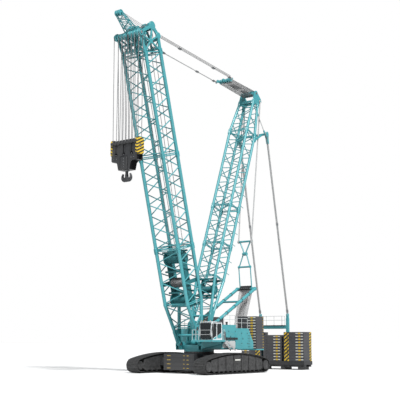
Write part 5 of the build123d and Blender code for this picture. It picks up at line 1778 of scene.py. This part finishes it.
# --- cab ---
@dataclass
class Cab(SubAssembly):
    """Trim, guards, lamps, mirrors and controls of the operator's cab."""

    x: Pair = (1.67, 3.43)
    y: Pair = (2.7, 4.2)
    roof: float = 5.15
    bars: Pair = (3.9, 4.34)  # heights of the front guard bars
    mirror_out: float = 0.22

    def guards(self) -> None:
        """Front guard bars, wiper and grab rails."""
        front = self.x[1] + 0.03
        right, left = self.y
        low, high = self.bars
        rods = [STOCK.rod((front, right + 0.1, z), (front, left - 0.1, z), 0.02, 8) for z in self.bars]
        rods += [STOCK.rod((front, y, low), (front, y, high), 0.016, 8) for y in (right + 0.12, left - 0.12)]
        for path in (((3.36, 4.27, 3.6), (3.42, 4.3, 3.7), (3.42, 4.3, 4.4), (3.3, 4.3, 4.9), (3.2, 4.22, 4.98)),
                     ((2.7, 4.21, 3.75), (2.7, 4.27, 3.78), (2.7, 4.27, 4.6), (2.7, 4.21, 4.63))):
            rods.append(bent("grab_rail", path, 0.016))
        self.keep("cab_guard_rails", rods, Finish.RAIL, "upper_works")
        wiper = [STOCK.rod((front - 0.01, 3.5, 3.98), (front - 0.03, 3.2, 4.75), 0.012, 6),
                 slab("blade", (front - 0.045, 3.1, 4.3), (front - 0.02, 3.13, 4.95), edge=0.004),
                 slab("wiper_motor", (front - 0.05, 3.4, 3.9), (front, 3.6, 3.99), edge=0.01)]
        self.keep("cab_wiper", wiper, Finish.BLACK, "upper_works")

    def trim(self) -> None:
        """Window seals, roof gutter, hatch, visor and the teal panels of side and door."""
        rear, front = self.x
        right, left = self.y
        roof = self.roof
        near, far = front - 0.002, front + 0.006
        seals = [slab("seal", (near, y, 3.93), (far, y + 0.02, 4.5), edge=0.002)
                 for y in (right + 0.11, left - 0.13)]
        seals.append(slab("seal", (near, right + 0.11, 3.92), (far, left - 0.11, 3.94), edge=0.002))
        low, high = (rear - 0.02, left - 0.01, roof - 0.07), (front - 0.2, left + 0.02, roof - 0.03)
        seals.append(slab("gutter", low, high, edge=0.006))
        self.keep("cab_seals", seals, Finish.BLACK, "upper_works")
        low, high = (front - 0.2, right + 0.05, roof - 0.03), (front + 0.02, left - 0.05, roof + 0.01)
        pieces = [slab("roof_hatch", (2.1, 3.0, roof), (2.9, 3.9, roof + 0.05), edge=0.02, segments=2),
                  slab("visor", low, high, edge=0.01)]
        self.keep("cab_roof_pieces", pieces, Finish.WHITE, "upper_works")
        panel = plate("side_panel", [(2.62, 3.46), (3.24, 3.46), (2.62, 3.74)], left, left + 0.012, edge=0.004)
        self.keep("cab_side_panel", [panel], Finish.TEAL, "upper_works")
        lower = [(1.84, 3.58), (2.53, 3.58), (2.53, 3.78), (1.84, 4.06)]
        panel = plate("door_panel", lower, left + 0.048, left + 0.06, edge=0.004)
        self.keep("cab_door_panel", [panel], Finish.TEAL, "door_leaf")

    def panes(self) -> None:
        """Outer panes of the windscreen, the side window and the door."""
        front, side, door = self.x[1] + 0.002, self.y[1] + 0.001, self.y[1] + 0.05
        outline = [(2.79, 3.5), (4.11, 3.5), (4.11, 4.96), (4.03, 5.04), (2.87, 5.04), (2.79, 4.96)]
        pane = plate("windscreen", outline, front, front + 0.012, 0.004, "X")
        self.keep("cab_windscreen", [pane], Finish.GLASS, "upper_works")
        outline = [(2.61, 3.8), (3.28, 3.5), (3.39, 3.62), (3.39, 4.9), (3.3, 4.98), (2.61, 4.98)]
        pane = plate("side_window", outline, side, self.y[1] + 0.013, 0.004)
        self.keep("cab_side_window", [pane], Finish.GLASS, "upper_works")
        outline = [(1.86, 4.12), (2.53, 3.84), (2.53, 4.98), (1.94, 4.98), (1.86, 4.9)]
        pane = plate("door_pane", outline, door - 0.002, door + 0.01, 0.004)
        self.keep("cab_door_pane", [pane], Finish.GLASS, "door_leaf")

    def lamps(self) -> None:
        """Roof lamps and side mirrors."""
        front, roof, nod = self.x[1], self.roof, (1, 0, -0.25)
        lamp = [(0.0, -0.06), (0.05, -0.055), (0.085, 0.0), (0.085, 0.03), (0.07, 0.03), (0.065, 0.015),
                (0.0, 0.015)]
        lens = [(0.0, 0.0), (0.066, 0.0), (0.05, 0.012), (0.0, 0.018)]
        shells, lenses, mirrors, glass = [], [], [], []
        for y in (self.y[0] + 0.2, self.y[1] - 0.2):
            shells.append(turned("lamp", lamp, (front - 0.1, y, roof + 0.1), nod, 18))
            shells.append(STOCK.rod((front - 0.13, y, roof - 0.02), (front - 0.13, y, roof + 0.08), 0.015, 8))
            lenses.append(turned("lens", lens, (front - 0.085, y, roof + 0.096), nod, 18))
        for side, wall in zip(SIDES, self.y):
            y = wall + side * self.mirror_out
            arm = [(3.3, wall, 4.7), (3.45, wall + side * 0.12, 4.72), (3.5, y, 4.6)]
            mirrors.append(bent("mirror_arm", arm, 0.014))
            low, high = (3.48, y - 0.09, 4.3), (3.53, y + 0.09, 4.64)
            mirrors.append(slab("mirror_shell", low, high, edge=0.02, segments=2))
            glass.append(slab("mirror_glass", (3.472, y - 0.07, 4.33), (3.479, y + 0.07, 4.61), edge=0.002))
        self.keep("cab_lamp_shells", shells, Finish.BLACK, "upper_works")
        self.keep("cab_lamp_lenses", lenses, Finish.LABEL, "upper_works")
        self.keep("cab_mirror_shells", mirrors, Finish.BLACK, "upper_works")
        self.keep("cab_mirror_glass", glass, Finish.STEEL, "upper_works")

    def controls(self) -> None:
        """Console, screen and levers in front of the seat."""
        knob = [(0.0, -0.035), (0.022, -0.03), (0.03, 0.0), (0.02, 0.03), (0.0, 0.035)]
        parts = [slab("console", (2.95, 3.0, 3.44), (3.15, 3.9, 3.95), edge=0.03, segments=2),
                 slab("screen", (2.98, 3.75, 4.1), (3.02, 4.0, 4.3), edge=0.01),
                 STOCK.rod((3.0, 3.88, 3.9), (3.0, 3.88, 4.15), 0.015, 8)]
        for y in (3.12, 3.76):
            parts.append(STOCK.rod((2.7, y, 3.98), (2.72, y, 4.2), 0.012, 8))
            parts.append(turned("knob", knob, (2.722, y, 4.22), (0, 0, 1), 12))
        self.keep("cab_controls", parts, Finish.BLACK, "upper_works")

    def build(self) -> None:
        """Model the cab's details."""
        self.guards()
        self.trim()
        self.panes()
        self.lamps()
        self.controls()


# --- rails and gratings ---
@dataclass
class Rails(SubAssembly):
    """Round-tube railings in place of the plain ones, and those of the cab deck."""

    radius: float = 0.024

    def fence(self, posts: Sequence[Point], height: float, rails: Sequence[float] = (1.0, 0.55)) -> list[Piece]:
        """Posts with rails between neighbours.

        Args:
            posts: Foot of each post.
            height: Height of the top rail.
            rails: Height of each rail, as a share.

        Returns:
            The tubes.
        """
        tubes = []
        for x, y, z in posts:
            tubes.append(STOCK.rod((x, y, z), (x, y, z + height), self.radius))
            tubes.append(slab("foot_plate", (x - 0.06, y - 0.06, z), (x + 0.06, y + 0.06, z + 0.015)))
        for a, b in zip(posts, posts[1:]):
            for share in rails:
                start, end = (a[0], a[1], a[2] + height * share), (b[0], b[1], b[2] + height * share)
                tubes.append(STOCK.rod(start, end, self.radius))
        return tubes

    def build(self) -> None:
        """Model every railing and the walkway gratings."""
        tubes = []
        for side, node in ((1, "house_left"), (-1, "house_right")):
            low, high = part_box(node)
            y = side * (max(abs(low[1]), abs(high[1])) - 0.06)
            tubes += self.fence([(x, y, high[2]) for x in (low[0] + 1.0, low[0] + 2.05, high[0] - 0.06)], 1.03)
        low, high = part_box("power_unit")
        places = (low[0] + 0.08, low[0] + 0.97, high[0] - 0.46)
        tubes += self.fence([(x, high[1] - 0.06, high[2]) for x in places], 0.98)
        self.keep("house_rails", tubes, Finish.RAIL, "upper_works", replaces=("walkway_rails",))
        low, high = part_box("pallet_walkway")
        floor, edge = low[2] + 0.06, high[0] - 0.04
        tubes = self.fence([(edge, y, floor) for y in (-1.6, -0.53, 0.53, 1.6)], 1.03)
        for side in SIDES:
            tubes += self.fence([(edge, side * 1.6, floor), (low[0] + 0.05, side * 1.6, floor)], 1.03)
        self.keep("pallet_rails", tubes, Finish.RAIL, "ballast")
        bars = [slab("frame", (low[0], low[1], low[2]), (high[0] - 0.01, low[1] + 0.05, floor), edge=0.006),
                slab("frame", (low[0], high[1] - 0.05, low[2]), (high[0] - 0.01, high[1], floor), edge=0.006)]
        first = slab("grating", (low[0], low[1] + 0.07, floor - 0.03), (high[0] - 0.01, low[1] + 0.085, floor))
        count = int((high[1] - low[1] - 0.14) / 0.08)
        bars += [first] + [copy_of(first, Matrix.Translation((0, 0.08 * i, 0))) for i in range(1, count)]
        for x in (low[0] + 0.02, (low[0] + high[0]) / 2, high[0] - 0.03):
            bars.append(slab("bearer", (x - 0.015, low[1], low[2]), (x + 0.015, high[1], floor - 0.03)))
        self.keep("pallet_grating", bars, Finish.BLACK, "ballast", replaces=("pallet_walkway",))
        low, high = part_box("cab_deck")
        top = high[2]
        tubes = self.fence([(high[0] - 0.05, y, top) for y in (1.8, 2.25, 2.6)], 1.0)
        tubes += self.fence([(x, high[1] - 0.04, top) for x in (1.28, 1.6)], 1.0)
        tubes += self.fence([(high[0] - 0.03, y, top - 0.14) for y in (2.7, 3.4, 4.26)], 0.12, (1.0,))
        self.keep("deck_rails", tubes, Finish.RAIL, "upper_works")


# --- houses ---
@dataclass
class Houses(SubAssembly):
    """Louvres, handles, exhaust and rungs on the machinery houses."""

    def louvres(self) -> None:
        """Slats in the first door of each house."""
        section = [(-0.012, -0.03), (0.0, -0.03), (0.018, 0.025), (0.012, 0.03), (-0.012, 0.03)]
        slats = []
        for node, start, width, foot, head in (
                ("house_left", 2.2, 0.7, 0.2, 0.16), ("house_right", 2.2, 0.7, 0.2, 0.16),
                ("power_unit", 0.22, 0.85, 0.25, 0.7)):
            low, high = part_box(node)
            side = 1 if high[1] > 0 else -1
            face = high[1] if side > 0 else low[1]
            bottom, top = low[2] + foot, high[2] - head
            left = low[0] + start
            for i in range(9):
                z = bottom + (i + 1) * (top - bottom) / 10
                outline = [(face + side * (out - 0.02), z + up * 1.3) for out, up in section]
                slats.append(plate("slat", outline, left, left + width, axis="X"))
        self.keep("house_louvres", slats, Finish.TEAL, "upper_works")

    def fittings(self) -> None:
        """Door handles, hinges, roof vents and the exhaust."""
        handles, vents = [], []
        for node, doors in (("house_left", (1.1, 2.1)), ("house_right", (1.1, 2.1)),
                            ("power_unit", (0.12, 1.27))):
            low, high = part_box(node)
            side = 1 if high[1] > 0 else -1
            face = high[1] if side > 0 else low[1]
            for start in doors:
                x, z = low[0] + start, (low[2] + high[2]) / 2
                for up in (-0.55, 0.5):
                    near, far = layer(face, side, -0.012, 0.02)
                    low_end, high_end = (x - 0.03, near, z + up), (x + 0.05, far, z + up + 0.1)
                    handles.append(slab("hinge", low_end, high_end, edge=0.005))
                near, far = layer(face, side, -0.012, 0.03)
                handles.append(slab("handle", (x + 0.8, near, z - 0.1), (x + 0.84, far, z + 0.1), edge=0.008))
        self.keep("house_handles", handles, Finish.BLACK, "upper_works")
        low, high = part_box("house_left")
        stack = [(0.0, 0.0), (0.11, 0.0), (0.11, 0.62), (0.13, 0.62), (0.13, 0.7), (0.09, 0.7), (0.09, 0.6),
                 (0.0, 0.6)]
        vents.append(turned("exhaust", stack, (-1.75, 2.3, high[2] - 0.01), (0, 0, 1), 20))
        vents.append(slab("muffler", (-2.6, 2.1, high[2]), (-1.95, 2.5, high[2] + 0.22), edge=0.05, segments=2))
        for x in (-3.1, -2.9):
            vents.append(slab("roof_vent", (x, 2.75, high[2]), (x + 0.14, 3.45, high[2] + 0.06), edge=0.01))
        self.keep("house_vents", vents, Finish.BLACK, "upper_works")

    def service_panels(self) -> None:
        """Pale service panels low on the power unit, and the pipes above them."""
        low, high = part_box("power_unit")
        panels = []
        for x0, x1 in ((low[0] + 0.12, low[0] + 1.17), (low[0] + 1.27, high[0] - 0.1)):
            outline = [(x0, 2.58), (x1, 2.58), (x1, 3.2), (x1 - 0.08, 3.28), (x0 + 0.08, 3.28), (x0, 3.2)]
            panels.append(plate("panel", outline, high[1] - 0.01, high[1] + 0.006, 0.004))
            inset = [(x0 + 0.1, 2.66), (x1 - 0.1, 2.66), (x1 - 0.1, 3.18), (x0 + 0.1, 3.18)]
            panels.append(plate("panel_press", inset, high[1], high[1] + 0.014, 0.005))
        self.keep("power_unit_panels", panels, Finish.RAIL, "upper_works")
        pipes = []
        for i, z in enumerate((3.42, 3.5, 3.58)):
            y = high[1] + 0.05
            turn = high[0] - 0.3 - 0.12 * i
            run = [(low[0] - 0.4, y - 0.1, z), (low[0] - 0.3, y, z), (turn - 0.2, y, z), (turn, y, z + 0.1),
                   (turn, y, z + 0.8 - 0.1 * i)]
            pipes.append(bent("pipe", run, 0.028))
        for x in (low[0] + 0.3, low[0] + 1.1, low[0] + 1.7):
            near, far = (x - 0.03, high[1] - 0.01, 3.37), (x + 0.03, high[1] + 0.09, 3.63)
            pipes.append(slab("clamp", near, far, edge=0.01))
        self.keep("power_unit_pipes", pipes, Finish.BLACK, "upper_works")

    def rungs(self) -> None:
        """Rungs on the left house's wall."""
        low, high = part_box("house_left")
        shape = ((0.65, -0.01), (0.65, 0.09), (0.95, 0.09), (0.95, -0.01))
        steps = []
        for i in range(7):
            z = low[2] + 0.25 + 0.28 * i
            if z < 4.0:
                steps.append(bent("rung", [(low[0] + x, high[1] + y, z) for x, y in shape], 0.014))
        self.keep("house_rungs", steps, Finish.BLACK, "upper_works")

    def build(self) -> None:
        """Model the houses' details."""
        self.louvres()
        self.fittings()
        self.service_panels()
        self.rungs()


# --- boom head ---
@dataclass
class BoomHead(SubAssembly):
    """Plated struts, gussets and cross tubes at the top of the boom, and the tapering tip strut."""

    half: float = 1.456
    thick: float = 0.14
    nodes: dict[str, Pair] = field(default_factory=lambda: {
        "front": (30.14, -1.182), "rear": (30.14, 1.182), "nose": (31.97, -1.6), "guide": BOOM_GUIDE,
        "stay": (31.62, 1.22), "middle": (31.1, -0.1)})
    struts: tuple[tuple[str, str, float], ...] = (
        ("front", "nose", 0.36), ("nose", "guide", 0.3), ("guide", "stay", 0.4), ("stay", "rear", 0.36),
        ("front", "middle", 0.16), ("rear", "middle", 0.16), ("nose", "middle", 0.16), ("stay", "middle", 0.16),
        ("guide", "middle", 0.2))
    gussets: tuple[tuple[str, float], ...] = (
        ("front", 0.24), ("rear", 0.24), ("nose", 0.4), ("guide", 0.44), ("stay", 0.34), ("middle", 0.24))
    tip_root: Pair = (31.9, -0.7)

    def strut(self, start: str, end: str, wide: float, y: float, thick: float) -> Piece:
        """A flat strut between two nodes of a side.

        Args:
            start: Name of one node.
            end: Name of the other node.
            wide: Its width.
            y: Its place across the boom.
            thick: Its thickness.

        Returns:
            The strut, in the boom's frame.
        """
        a, b = Vector(self.nodes[start]), Vector(self.nodes[end])
        off = (b - a).orthogonal().normalized() * wide / 2
        outline = [tuple(corner) for corner in (a + off, b + off, b - off, a - off)]
        return plate("strut", outline, y - thick / 2, y + thick / 2, edge=0.015)

    def sides(self) -> list[Piece]:
        """Both outer sides and two lighter inner ones.

        Returns:
            The struts and their round gussets.
        """
        outer, inner = (self.thick, 1.0), (0.08, 0.8)
        rim = [(0.0, -0.52), (0.94, -0.52), (1.0, -0.4), (1.0, 0.4), (0.94, 0.52), (0.0, 0.52)]
        parts = []
        for y, (thick, share) in ((-self.half, outer), (self.half, outer), (-0.36, inner), (0.36, inner)):
            parts += [self.strut(a, b, wide * share, y, thick) for a, b, wide in self.struts]
            for name, radius in self.gussets:
                along, out = self.nodes[name]
                profile = [(r * radius * share, across * thick * 1.2) for r, across in rim]
                parts.append(turned("gusset", profile, (along, y, out)))
        return parts

    def crossings(self) -> list[Piece]:
        """Cross tubes between the sides and the lacing of the front and rear.

        Returns:
            The tubes.
        """
        parts = []
        for along, out, radius in (
                (30.36, -1.18, 0.13), (30.36, 1.18, 0.13), (31.25, 1.2, 0.15), (31.9, -0.7, 0.14),
                (31.1, -0.1, 0.1), (31.1, -1.15, 0.1), (32.65, 0.52, 0.07), (32.35, 0.95, 0.09)):
            parts.append(STOCK.rod((along, -self.half, out), (along, self.half, out), radius, 18))
        for low, high in (((30.36, -1.18), (31.1, -1.15)), ((30.36, 1.18), (31.25, 1.2)),
                          ((31.1, -0.1), (31.9, -0.7))):
            for i in range(4):
                a, b = self.half * (i / 2 - 1), self.half * ((i + 1) / 2 - 1)
                first, last = (low, high) if i % 2 else (high, low)
                parts.append(STOCK.rod((first[0], a, first[1]), (last[0], b, last[1]), 0.055))
        return parts

    def lugs(self) -> list[Piece]:
        """Forked lugs that hold the stays.

        Returns:
            The lugs.
        """
        outline = [(31.1, 1.1), (31.4, 1.1), (31.78, 1.68), (31.7, 1.86), (31.5, 1.88), (31.42, 1.74)]
        parts = []
        for side in SIDES:
            for gap in (-0.075, 0.075):
                y = side * 0.99 + gap
                parts.append(plate("lug", outline, y - 0.02, y + 0.02, edge=0.01))
        return parts

    def tip_point(self, share: float, side: float, lift: float = 0.0) -> Vector:
        """A point on the tip strut.

        Args:
            share: How far along the strut, 0 at its root.
            side: -1 or 1 for its right or left side.
            lift: How far off its middle plane.

        Returns:
            The point, in the boom's frame.
        """
        root, top = self.tip_root, BOOM_TIP
        return Vector((root[0] + (top[0] - root[0]) * share + 0.62 * lift, side * (0.72 - 0.3 * share),
                       root[1] + (top[1] - root[1]) * share + 0.78 * lift))

    def tip(self) -> None:
        """The tapering tip strut with its three small sheaves."""
        parts, at, top = [], self.tip_point, BOOM_TIP
        for side in SIDES:
            for lift in (-0.16, 0.16):
                parts.append(STOCK.rod(at(0.0, side, lift * 1.4), at(0.97, side, lift * 0.5), 0.055, 12))
        shares = [0.12 + 0.155 * i for i in range(6)]
        for i, (a, b) in enumerate(zip(shares, shares[1:])):
            turn = 1 if i % 2 else -1
            for lift in (-0.16, 0.16):
                parts.append(STOCK.rod(at(a, turn, lift), at(b, -turn, lift), 0.032))
                parts.append(STOCK.rod(at(a, -1, lift), at(a, 1, lift), 0.032))
            for side in SIDES:
                parts.append(STOCK.rod(at(a, side, 0.16 * turn), at(b, side, -0.16 * turn), 0.028))
        wheel = STOCK.once(("tip_sheave",), lambda: sheave(0.31, 0.06, 0.1))
        parts += [copy_of(wheel, Matrix.Translation((top[0], y, top[1]))) for y in (-0.27, 0.0, 0.27)]
        parts.append(STOCK.rod((top[0], -0.47, top[1]), (top[0], 0.47, top[1]), 0.06, 16))
        self.keep("tip_strut_tubes", parts, Finish.TEAL, "boom", ("tip_strut",), BOOM)

    def build(self) -> None:
        """Model the head and the tip strut."""
        parts = self.sides() + self.crossings() + self.lugs()
        self.keep("boom_head_struts", parts, Finish.TEAL, "boom", ("boom_head",), BOOM)
        self.tip()


# --- winch bays inside the boom and the mast ---
@dataclass
class WinchBay(SubAssembly):
    """Side plates, flanged drums and cross beams that fill a bay of a strut, in teal darkened as painted shade."""

    name: str = "boom"
    strut: StrutFrame = BOOM
    drums: tuple[Point, ...] = ((9.0, -0.05, 0.5), (4.7, -0.05, 0.5))  # along, out, radius
    reach: Pair = (4.0, 9.75)
    half: float = 1.0
    depth: float = 0.42
    pitch: float = 0.085  # of the turns on a drum
    beams: tuple[float, ...] = (4.1, 5.5, 7.7, 9.7)

    def frame_parts(self) -> list[Piece]:
        """Side plates, the flanges and hubs of the drums and the beams across the strut.

        Returns:
            The parts, in the strut's frame.
        """
        low, high = self.reach
        outline = [(low, -self.depth), (high - 0.2, -self.depth), (high, 0), (high - 0.2, self.depth),
                   (low, self.depth)]
        rim = [(0.4, -0.07), (1.0, -0.07), (1.0, 0.07), (0.4, 0.07)]
        hub = [(0.0, -0.16), (0.2, -0.16), (0.24, -0.1), (0.24, 0.1), (0.2, 0.16), (0.0, 0.16)]
        parts = []
        for side in SIDES:
            y = side * self.half
            parts.append(plate("side_plate", outline, y - 0.03, y + 0.03, edge=0.01))
            for along, out, radius in self.drums:
                profile = [(r * (radius + 0.22), across) for r, across in rim]
                parts.append(turned("flange", profile, (along, y, out), ring=True))
                parts.append(turned("hub", hub, (along, side * (self.half + 0.1), out)))
        for along in self.beams:
            for out in (-self.depth, self.depth):
                parts.append(slab("beam", (along - 0.09, -self.half - 0.3, out - 0.09),
                                  (along + 0.09, self.half + 0.3, out + 0.09), edge=0.02))
        return parts

    def build(self) -> None:
        """Model the bay's steelwork and its drums."""
        parts = self.frame_parts()
        # The bay's steelwork takes the teal darkened as painted shade.
        self.keep(f"{self.name}_winch_frame", parts, Finish.DEEP_TEAL, self.name, strut=self.strut)
        pitch = self.pitch
        turns = int((2 * self.half - 0.16) / pitch)
        start, coils = -pitch * turns / 2, []
        for along, out, radius in self.drums:
            profile = [(radius - 0.05, start)]
            for i in range(turns):
                profile += [(radius, start + pitch * (i + 0.05)), (radius + 0.03, start + pitch * (i + 0.3)),
                            (radius + 0.03, start + pitch * (i + 0.7)), (radius, start + pitch * (i + 0.95))]
            profile.append((radius - 0.05, -start))
            coils.append(turned("coil", profile, (along, 0, out), ring=True, steps=24))
        # The coils take the same teal darkened as painted shade.
        self.keep(f"{self.name}_winch_coils", coils, Finish.DEEP_TEAL, self.name, strut=self.strut)


# --- heads, collars and small steelwork ---
@dataclass
class HeadSteel(SubAssembly):
    """The nose housings, the live mast's collars, the mast's pegs, the ballast pendants and the ring's bolts."""

    def nose(self) -> None:
        """Housings between the nose sheaves."""
        x, _, z = PIVOTS["nose_level"]
        rolls = []
        for y, half in ((-1.24, 0.12), (-0.84, 0.145), (-0.42, 0.145),
                        (0.42, 0.145), (0.84, 0.145), (1.24, 0.12)):
            profile = [(0.1, -half), (0.29, -half), (0.305, 0.02 - half), (0.305, half - 0.02), (0.29, half),
                       (0.1, half)]
            rolls.append(turned("spacer", profile, (x, y, z), ring=True, steps=28))
        self.keep("nose_spacers", rolls, Finish.TEAL, "nose")

    def collars(self) -> None:
        """Dark collars round the live mast's legs."""
        profile = [(0.17, -0.05), (0.195, -0.05), (0.2, -0.03), (0.2, 0.03), (0.195, 0.05), (0.17, 0.05)]
        foot, head = Vector(LIVE_FOOT), Vector(LIVE_HEAD)
        along = (head - foot).normalized()
        rings = []
        for side in SIDES:
            for share in (0.12, 0.3, 0.48, 0.66, 0.84):
                spot = foot.lerp(head, share) + Vector((0, side * MAST_HALF, 0))
                rings.append(turned("collar", profile, spot, along, 20, ring=True))
        self.keep("live_mast_collars", rings, Finish.BLACK, "live_mast")

    def pegs(self) -> None:
        """Rope rollers that stand out behind the mast's lower half."""
        pegs = []
        for along in (6.2, 7.6, 9.6, 11.0, 12.4, 14.3, 15.7):
            for side in SIDES:
                inner, outer = MAST.at(along, side * MAST_HALF, 0.95), MAST.at(along, side * MAST_HALF, 1.5)
                pegs.append(STOCK.rod(inner, outer, 0.035))
        self.keep("mast_pegs", pegs, Finish.TEAL, "mast")

    def strands(self) -> None:
        """Links, shackles, twin strands and sockets of the two long pendants that hold the ballast."""
        low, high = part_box("ballast_pendants")
        top, foot = (high[0] - 0.23, high[2] - 0.23), (low[0] + 0.13, low[2] + 0.13)
        shape = [(-0.26, 0.14), (-0.26, -0.14), (-0.12, -0.25), (0.12, -0.26), (0.5, -0.15), (1.15, -0.12),
                 (1.15, 0.12), (0.5, 0.15), (0.12, 0.26), (-0.12, 0.25)]
        down = Vector((foot[0] - top[0], foot[1] - top[1])).normalized()
        outline = [(top[0] + d * down.x - w * down.y, top[1] + d * down.y + w * down.x) for d, w in shape]
        ferrule = [(0.04, -0.3), (0.1, -0.26), (0.11, 0.2), (0.06, 0.3)]
        rim = [(0.03, -0.22), (0.055, -0.2), (0.07, -0.08), (0.07, 0.08), (0.055, 0.2), (0.03, 0.22)]
        rods, sockets, shackles = [], [], []
        for side in SIDES:
            middle = side * (high[1] - 0.06)
            for y in (middle - 0.105, middle + 0.105):
                shackles.append(plate("shackle", outline, y - 0.025, y + 0.025, edge=0.012))
            head, tip = MAST.at(26.35, side * 1.02, 0.62), Vector((top[0], side * 1.69, top[1] + 0.05))
            rods.append(STOCK.rod(head, tip, 0.055, 12))
            along = (tip - head).normalized()
            shackles += [turned("link_end", ferrule, head.lerp(tip, share), along, 16, ring=True)
                         for share in (0.05, 0.95)]
            for y in (middle - 0.085, middle + 0.085):
                a, b = Vector((top[0], y, top[1])), Vector((foot[0], y, foot[1]))
                rods.append(STOCK.rod(a.lerp(b, 0.012), a.lerp(b, 0.992), 0.046, 12))
                along = (b - a).normalized()
                sockets += [turned("socket", rim, a.lerp(b, share), along, 16, ring=True)
                            for share in (0.02, 0.5, 0.98)]
        self.keep("pendant_strands", rods, Finish.STAY, "mast")
        self.keep("pendant_sockets", sockets, Finish.STEEL, "mast")
        self.keep("pendant_shackles", shackles, Finish.TEAL, "mast")

    def ring_bolts(self) -> None:
        """Bolt circle of the slewing ring."""
        low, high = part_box("slew_ring")
        radius = (high[0] - low[0]) / 2 - 0.001
        first = STOCK.bolt((radius, 0, (low[2] + high[2]) / 2), (1, 0, 0), 0.03)
        self.keep("slew_ring_bolts", ring_of(first, 60, (0, 0, 0), "Z"), Finish.STEEL, "undercarriage")

    def build(self) -> None:
        """Model the small steelwork."""
        self.nose()
        self.collars()
        self.pegs()
        self.strands()
        self.ring_bolts()


# --- the whole machine ---
CAD_FINISHES: dict[Finish, tuple[str, ...]] = {
    # The boom's CAD winch takes the teal darkened as painted shade.
    Finish.DEEP_TEAL: ("boom_winch",),
    Finish.TEAL: ("cab_cabinet", "house_left", "house_right", "power_unit", "cab_deck", "revolving_frame",
                  "mast_bracket", "boom_butt", "boom_insert_lower", "boom_top", "boom_head", "tip_strut",
                  "mast_foot", "mast_lower", "mast_upper", "mast_top", "mast_head", "ballast_spreader",
                  "live_mast_legs", "pallet_hanger", "equalizer", "stay_yokes"),
    Finish.SLAB: ("counterweight_left", "counterweight_right", "ballast_stack_left",
                  "ballast_stack_centre", "ballast_stack_right"),
    Finish.BLACK: ("car_body_weights", "block_frame", "pallet_walkway", "slew_ring", "car_body", "pallet_tray"),
    Finish.RAIL: ("walkway_rails",),
    Finish.WHITE: ("cab_shell", "cab_door"),
    Finish.DARK_STEEL: ("winches", "rope_anchor", "hook", "live_mast_sheaves"),
    Finish.STEEL: ("boom_foot_pins", "nose_sheaves", "block_sheaves", "mast_head_sheaves", "boom_guide_sheaves"),
    Finish.STAY: ("access_ladder", "ballast_pendants", "boom_stays", "backstays"),
    Finish.TRACK: ("track_left", "track_right", "track_frame_left", "track_frame_right", "track_wheels_left",
                   "track_wheels_right"),
    Finish.GLASS: ("cab_glass", "cab_door_glass"),
    Finish.SEAT: ("operator_seat",),
}


def dress_cad() -> None:
    """Give every CAD node its finish."""
    for finish, nodes in CAD_FINISHES.items():
        for node in nodes:
            dress(frame["nodes"][node], finish)


def sub_assemblies() -> list[SubAssembly]:
    """Every sub-assembly, in the order that they are built.

    Returns:
        The sub-assemblies.
    """
    nose, block = PIVOTS["nose_level"], PIVOTS["hoist"]
    guide = BOOM.at(BOOM_GUIDE[0], 0, BOOM_GUIDE[1])
    head = MAST.at(MAST_HEAD[0], 0, MAST_HEAD[1])
    drum = BOOM.at(6.5, 0, 0)
    mast_sections = (("mast_foot", 1.5, 9.1), ("mast_lower", 9.1, 13.7), ("mast_upper", 13.7, 23.3),
                     ("mast_top", 23.3, 27.3))
    return [
        Lattice(braces=(10.4, 19.9, 29.8)),
        Lattice(name="mast", strut=MAST, width=2 * MAST_HALF, depth=1.63, chord=0.15, lace=0.05, bay=0.95,
                taper=5.2, foot_thick=0.24, sections=mast_sections, top=(1.92, 0.9), braces=(9.4, 14.0, 23.0)),
        SheaveRoll(node="nose_sheaves", body="nose", centre=nose, places=NOSE_PLACES, half=1.77),
        SheaveRoll(node="boom_guide_sheaves", body="boom", centre=guide, radius=0.35, shaft=0.0703,
                   places=(-1.1, -0.6, 0.6, 1.1), with_shaft=False),
        SheaveRoll(node="block_sheaves", body="hook_block", centre=block, radius=0.47, shaft=0.0903, thick=0.1,
                   places=BLOCK_PLACES, half=1.76, finish=Finish.DARK_STEEL),
        SheaveRoll(node="mast_head_sheaves", body="mast", centre=tuple(head), radius=0.33,
                   places=(-0.6, -0.3, 0.0, 0.3, 0.6), half=1.05),
        SheaveRoll(node="live_mast_sheaves", body="live_mast", centre=LIVE_HEAD, radius=0.38, shaft=0.1003,
                   thick=0.09, places=(-0.56, -0.28, 0.0, 0.28, 0.56), with_shaft=False,
                   finish=Finish.DARK_STEEL),
        HoistRopes(),
        BoomTackle(),
        LuffingRopes(),
        RopeDrum(name="front_winch", centre=(-2.6, 0, 3.2)),
        RopeDrum(name="rear_winch", centre=(-3.8, 0, 3.2)),
        RopeDrum(name="luffing_winch", centre=(-6.95, 0, 3.45), radius=0.33, flange=0.43),
        RopeDrum(name="boom_winch", body="boom", centre=tuple(drum), radius=0.42, flange=0.6),
        BoomHead(),
        WinchBay(),
        WinchBay(name="mast", strut=MAST, drums=((3.9, 0.0, 0.34),), reach=(3.0, 5.1), half=0.85, depth=0.3,
                 beams=(3.1, 5.0)),
        HookBlock(),
        Tracks(),
        Ballast(),
        Cab(),
        Rails(),
        Houses(),
        HeadSteel(),
    ]


def main() -> None:
    """Build every part of the scene and report it."""
    logging.basicConfig(level=logging.INFO, format="%(name)s: %(message)s")
    GROUPS["weathering"] = weathering()
    GROUPS["hazard_stripes"] = stripes()
    Studio().build()
    dress_cad()
    LOG.info("finishes on %d CAD nodes", sum(len(nodes) for nodes in CAD_FINISHES.values()))
    for assembly in sub_assemblies():
        assembly.build()
        for piece in assembly.pieces:
            LOG.info("%s: %s, %d faces", type(assembly).__name__, piece.name, len(piece.data.polygons))
    STOCK.clear()


if __name__ == "__main__":
    main()
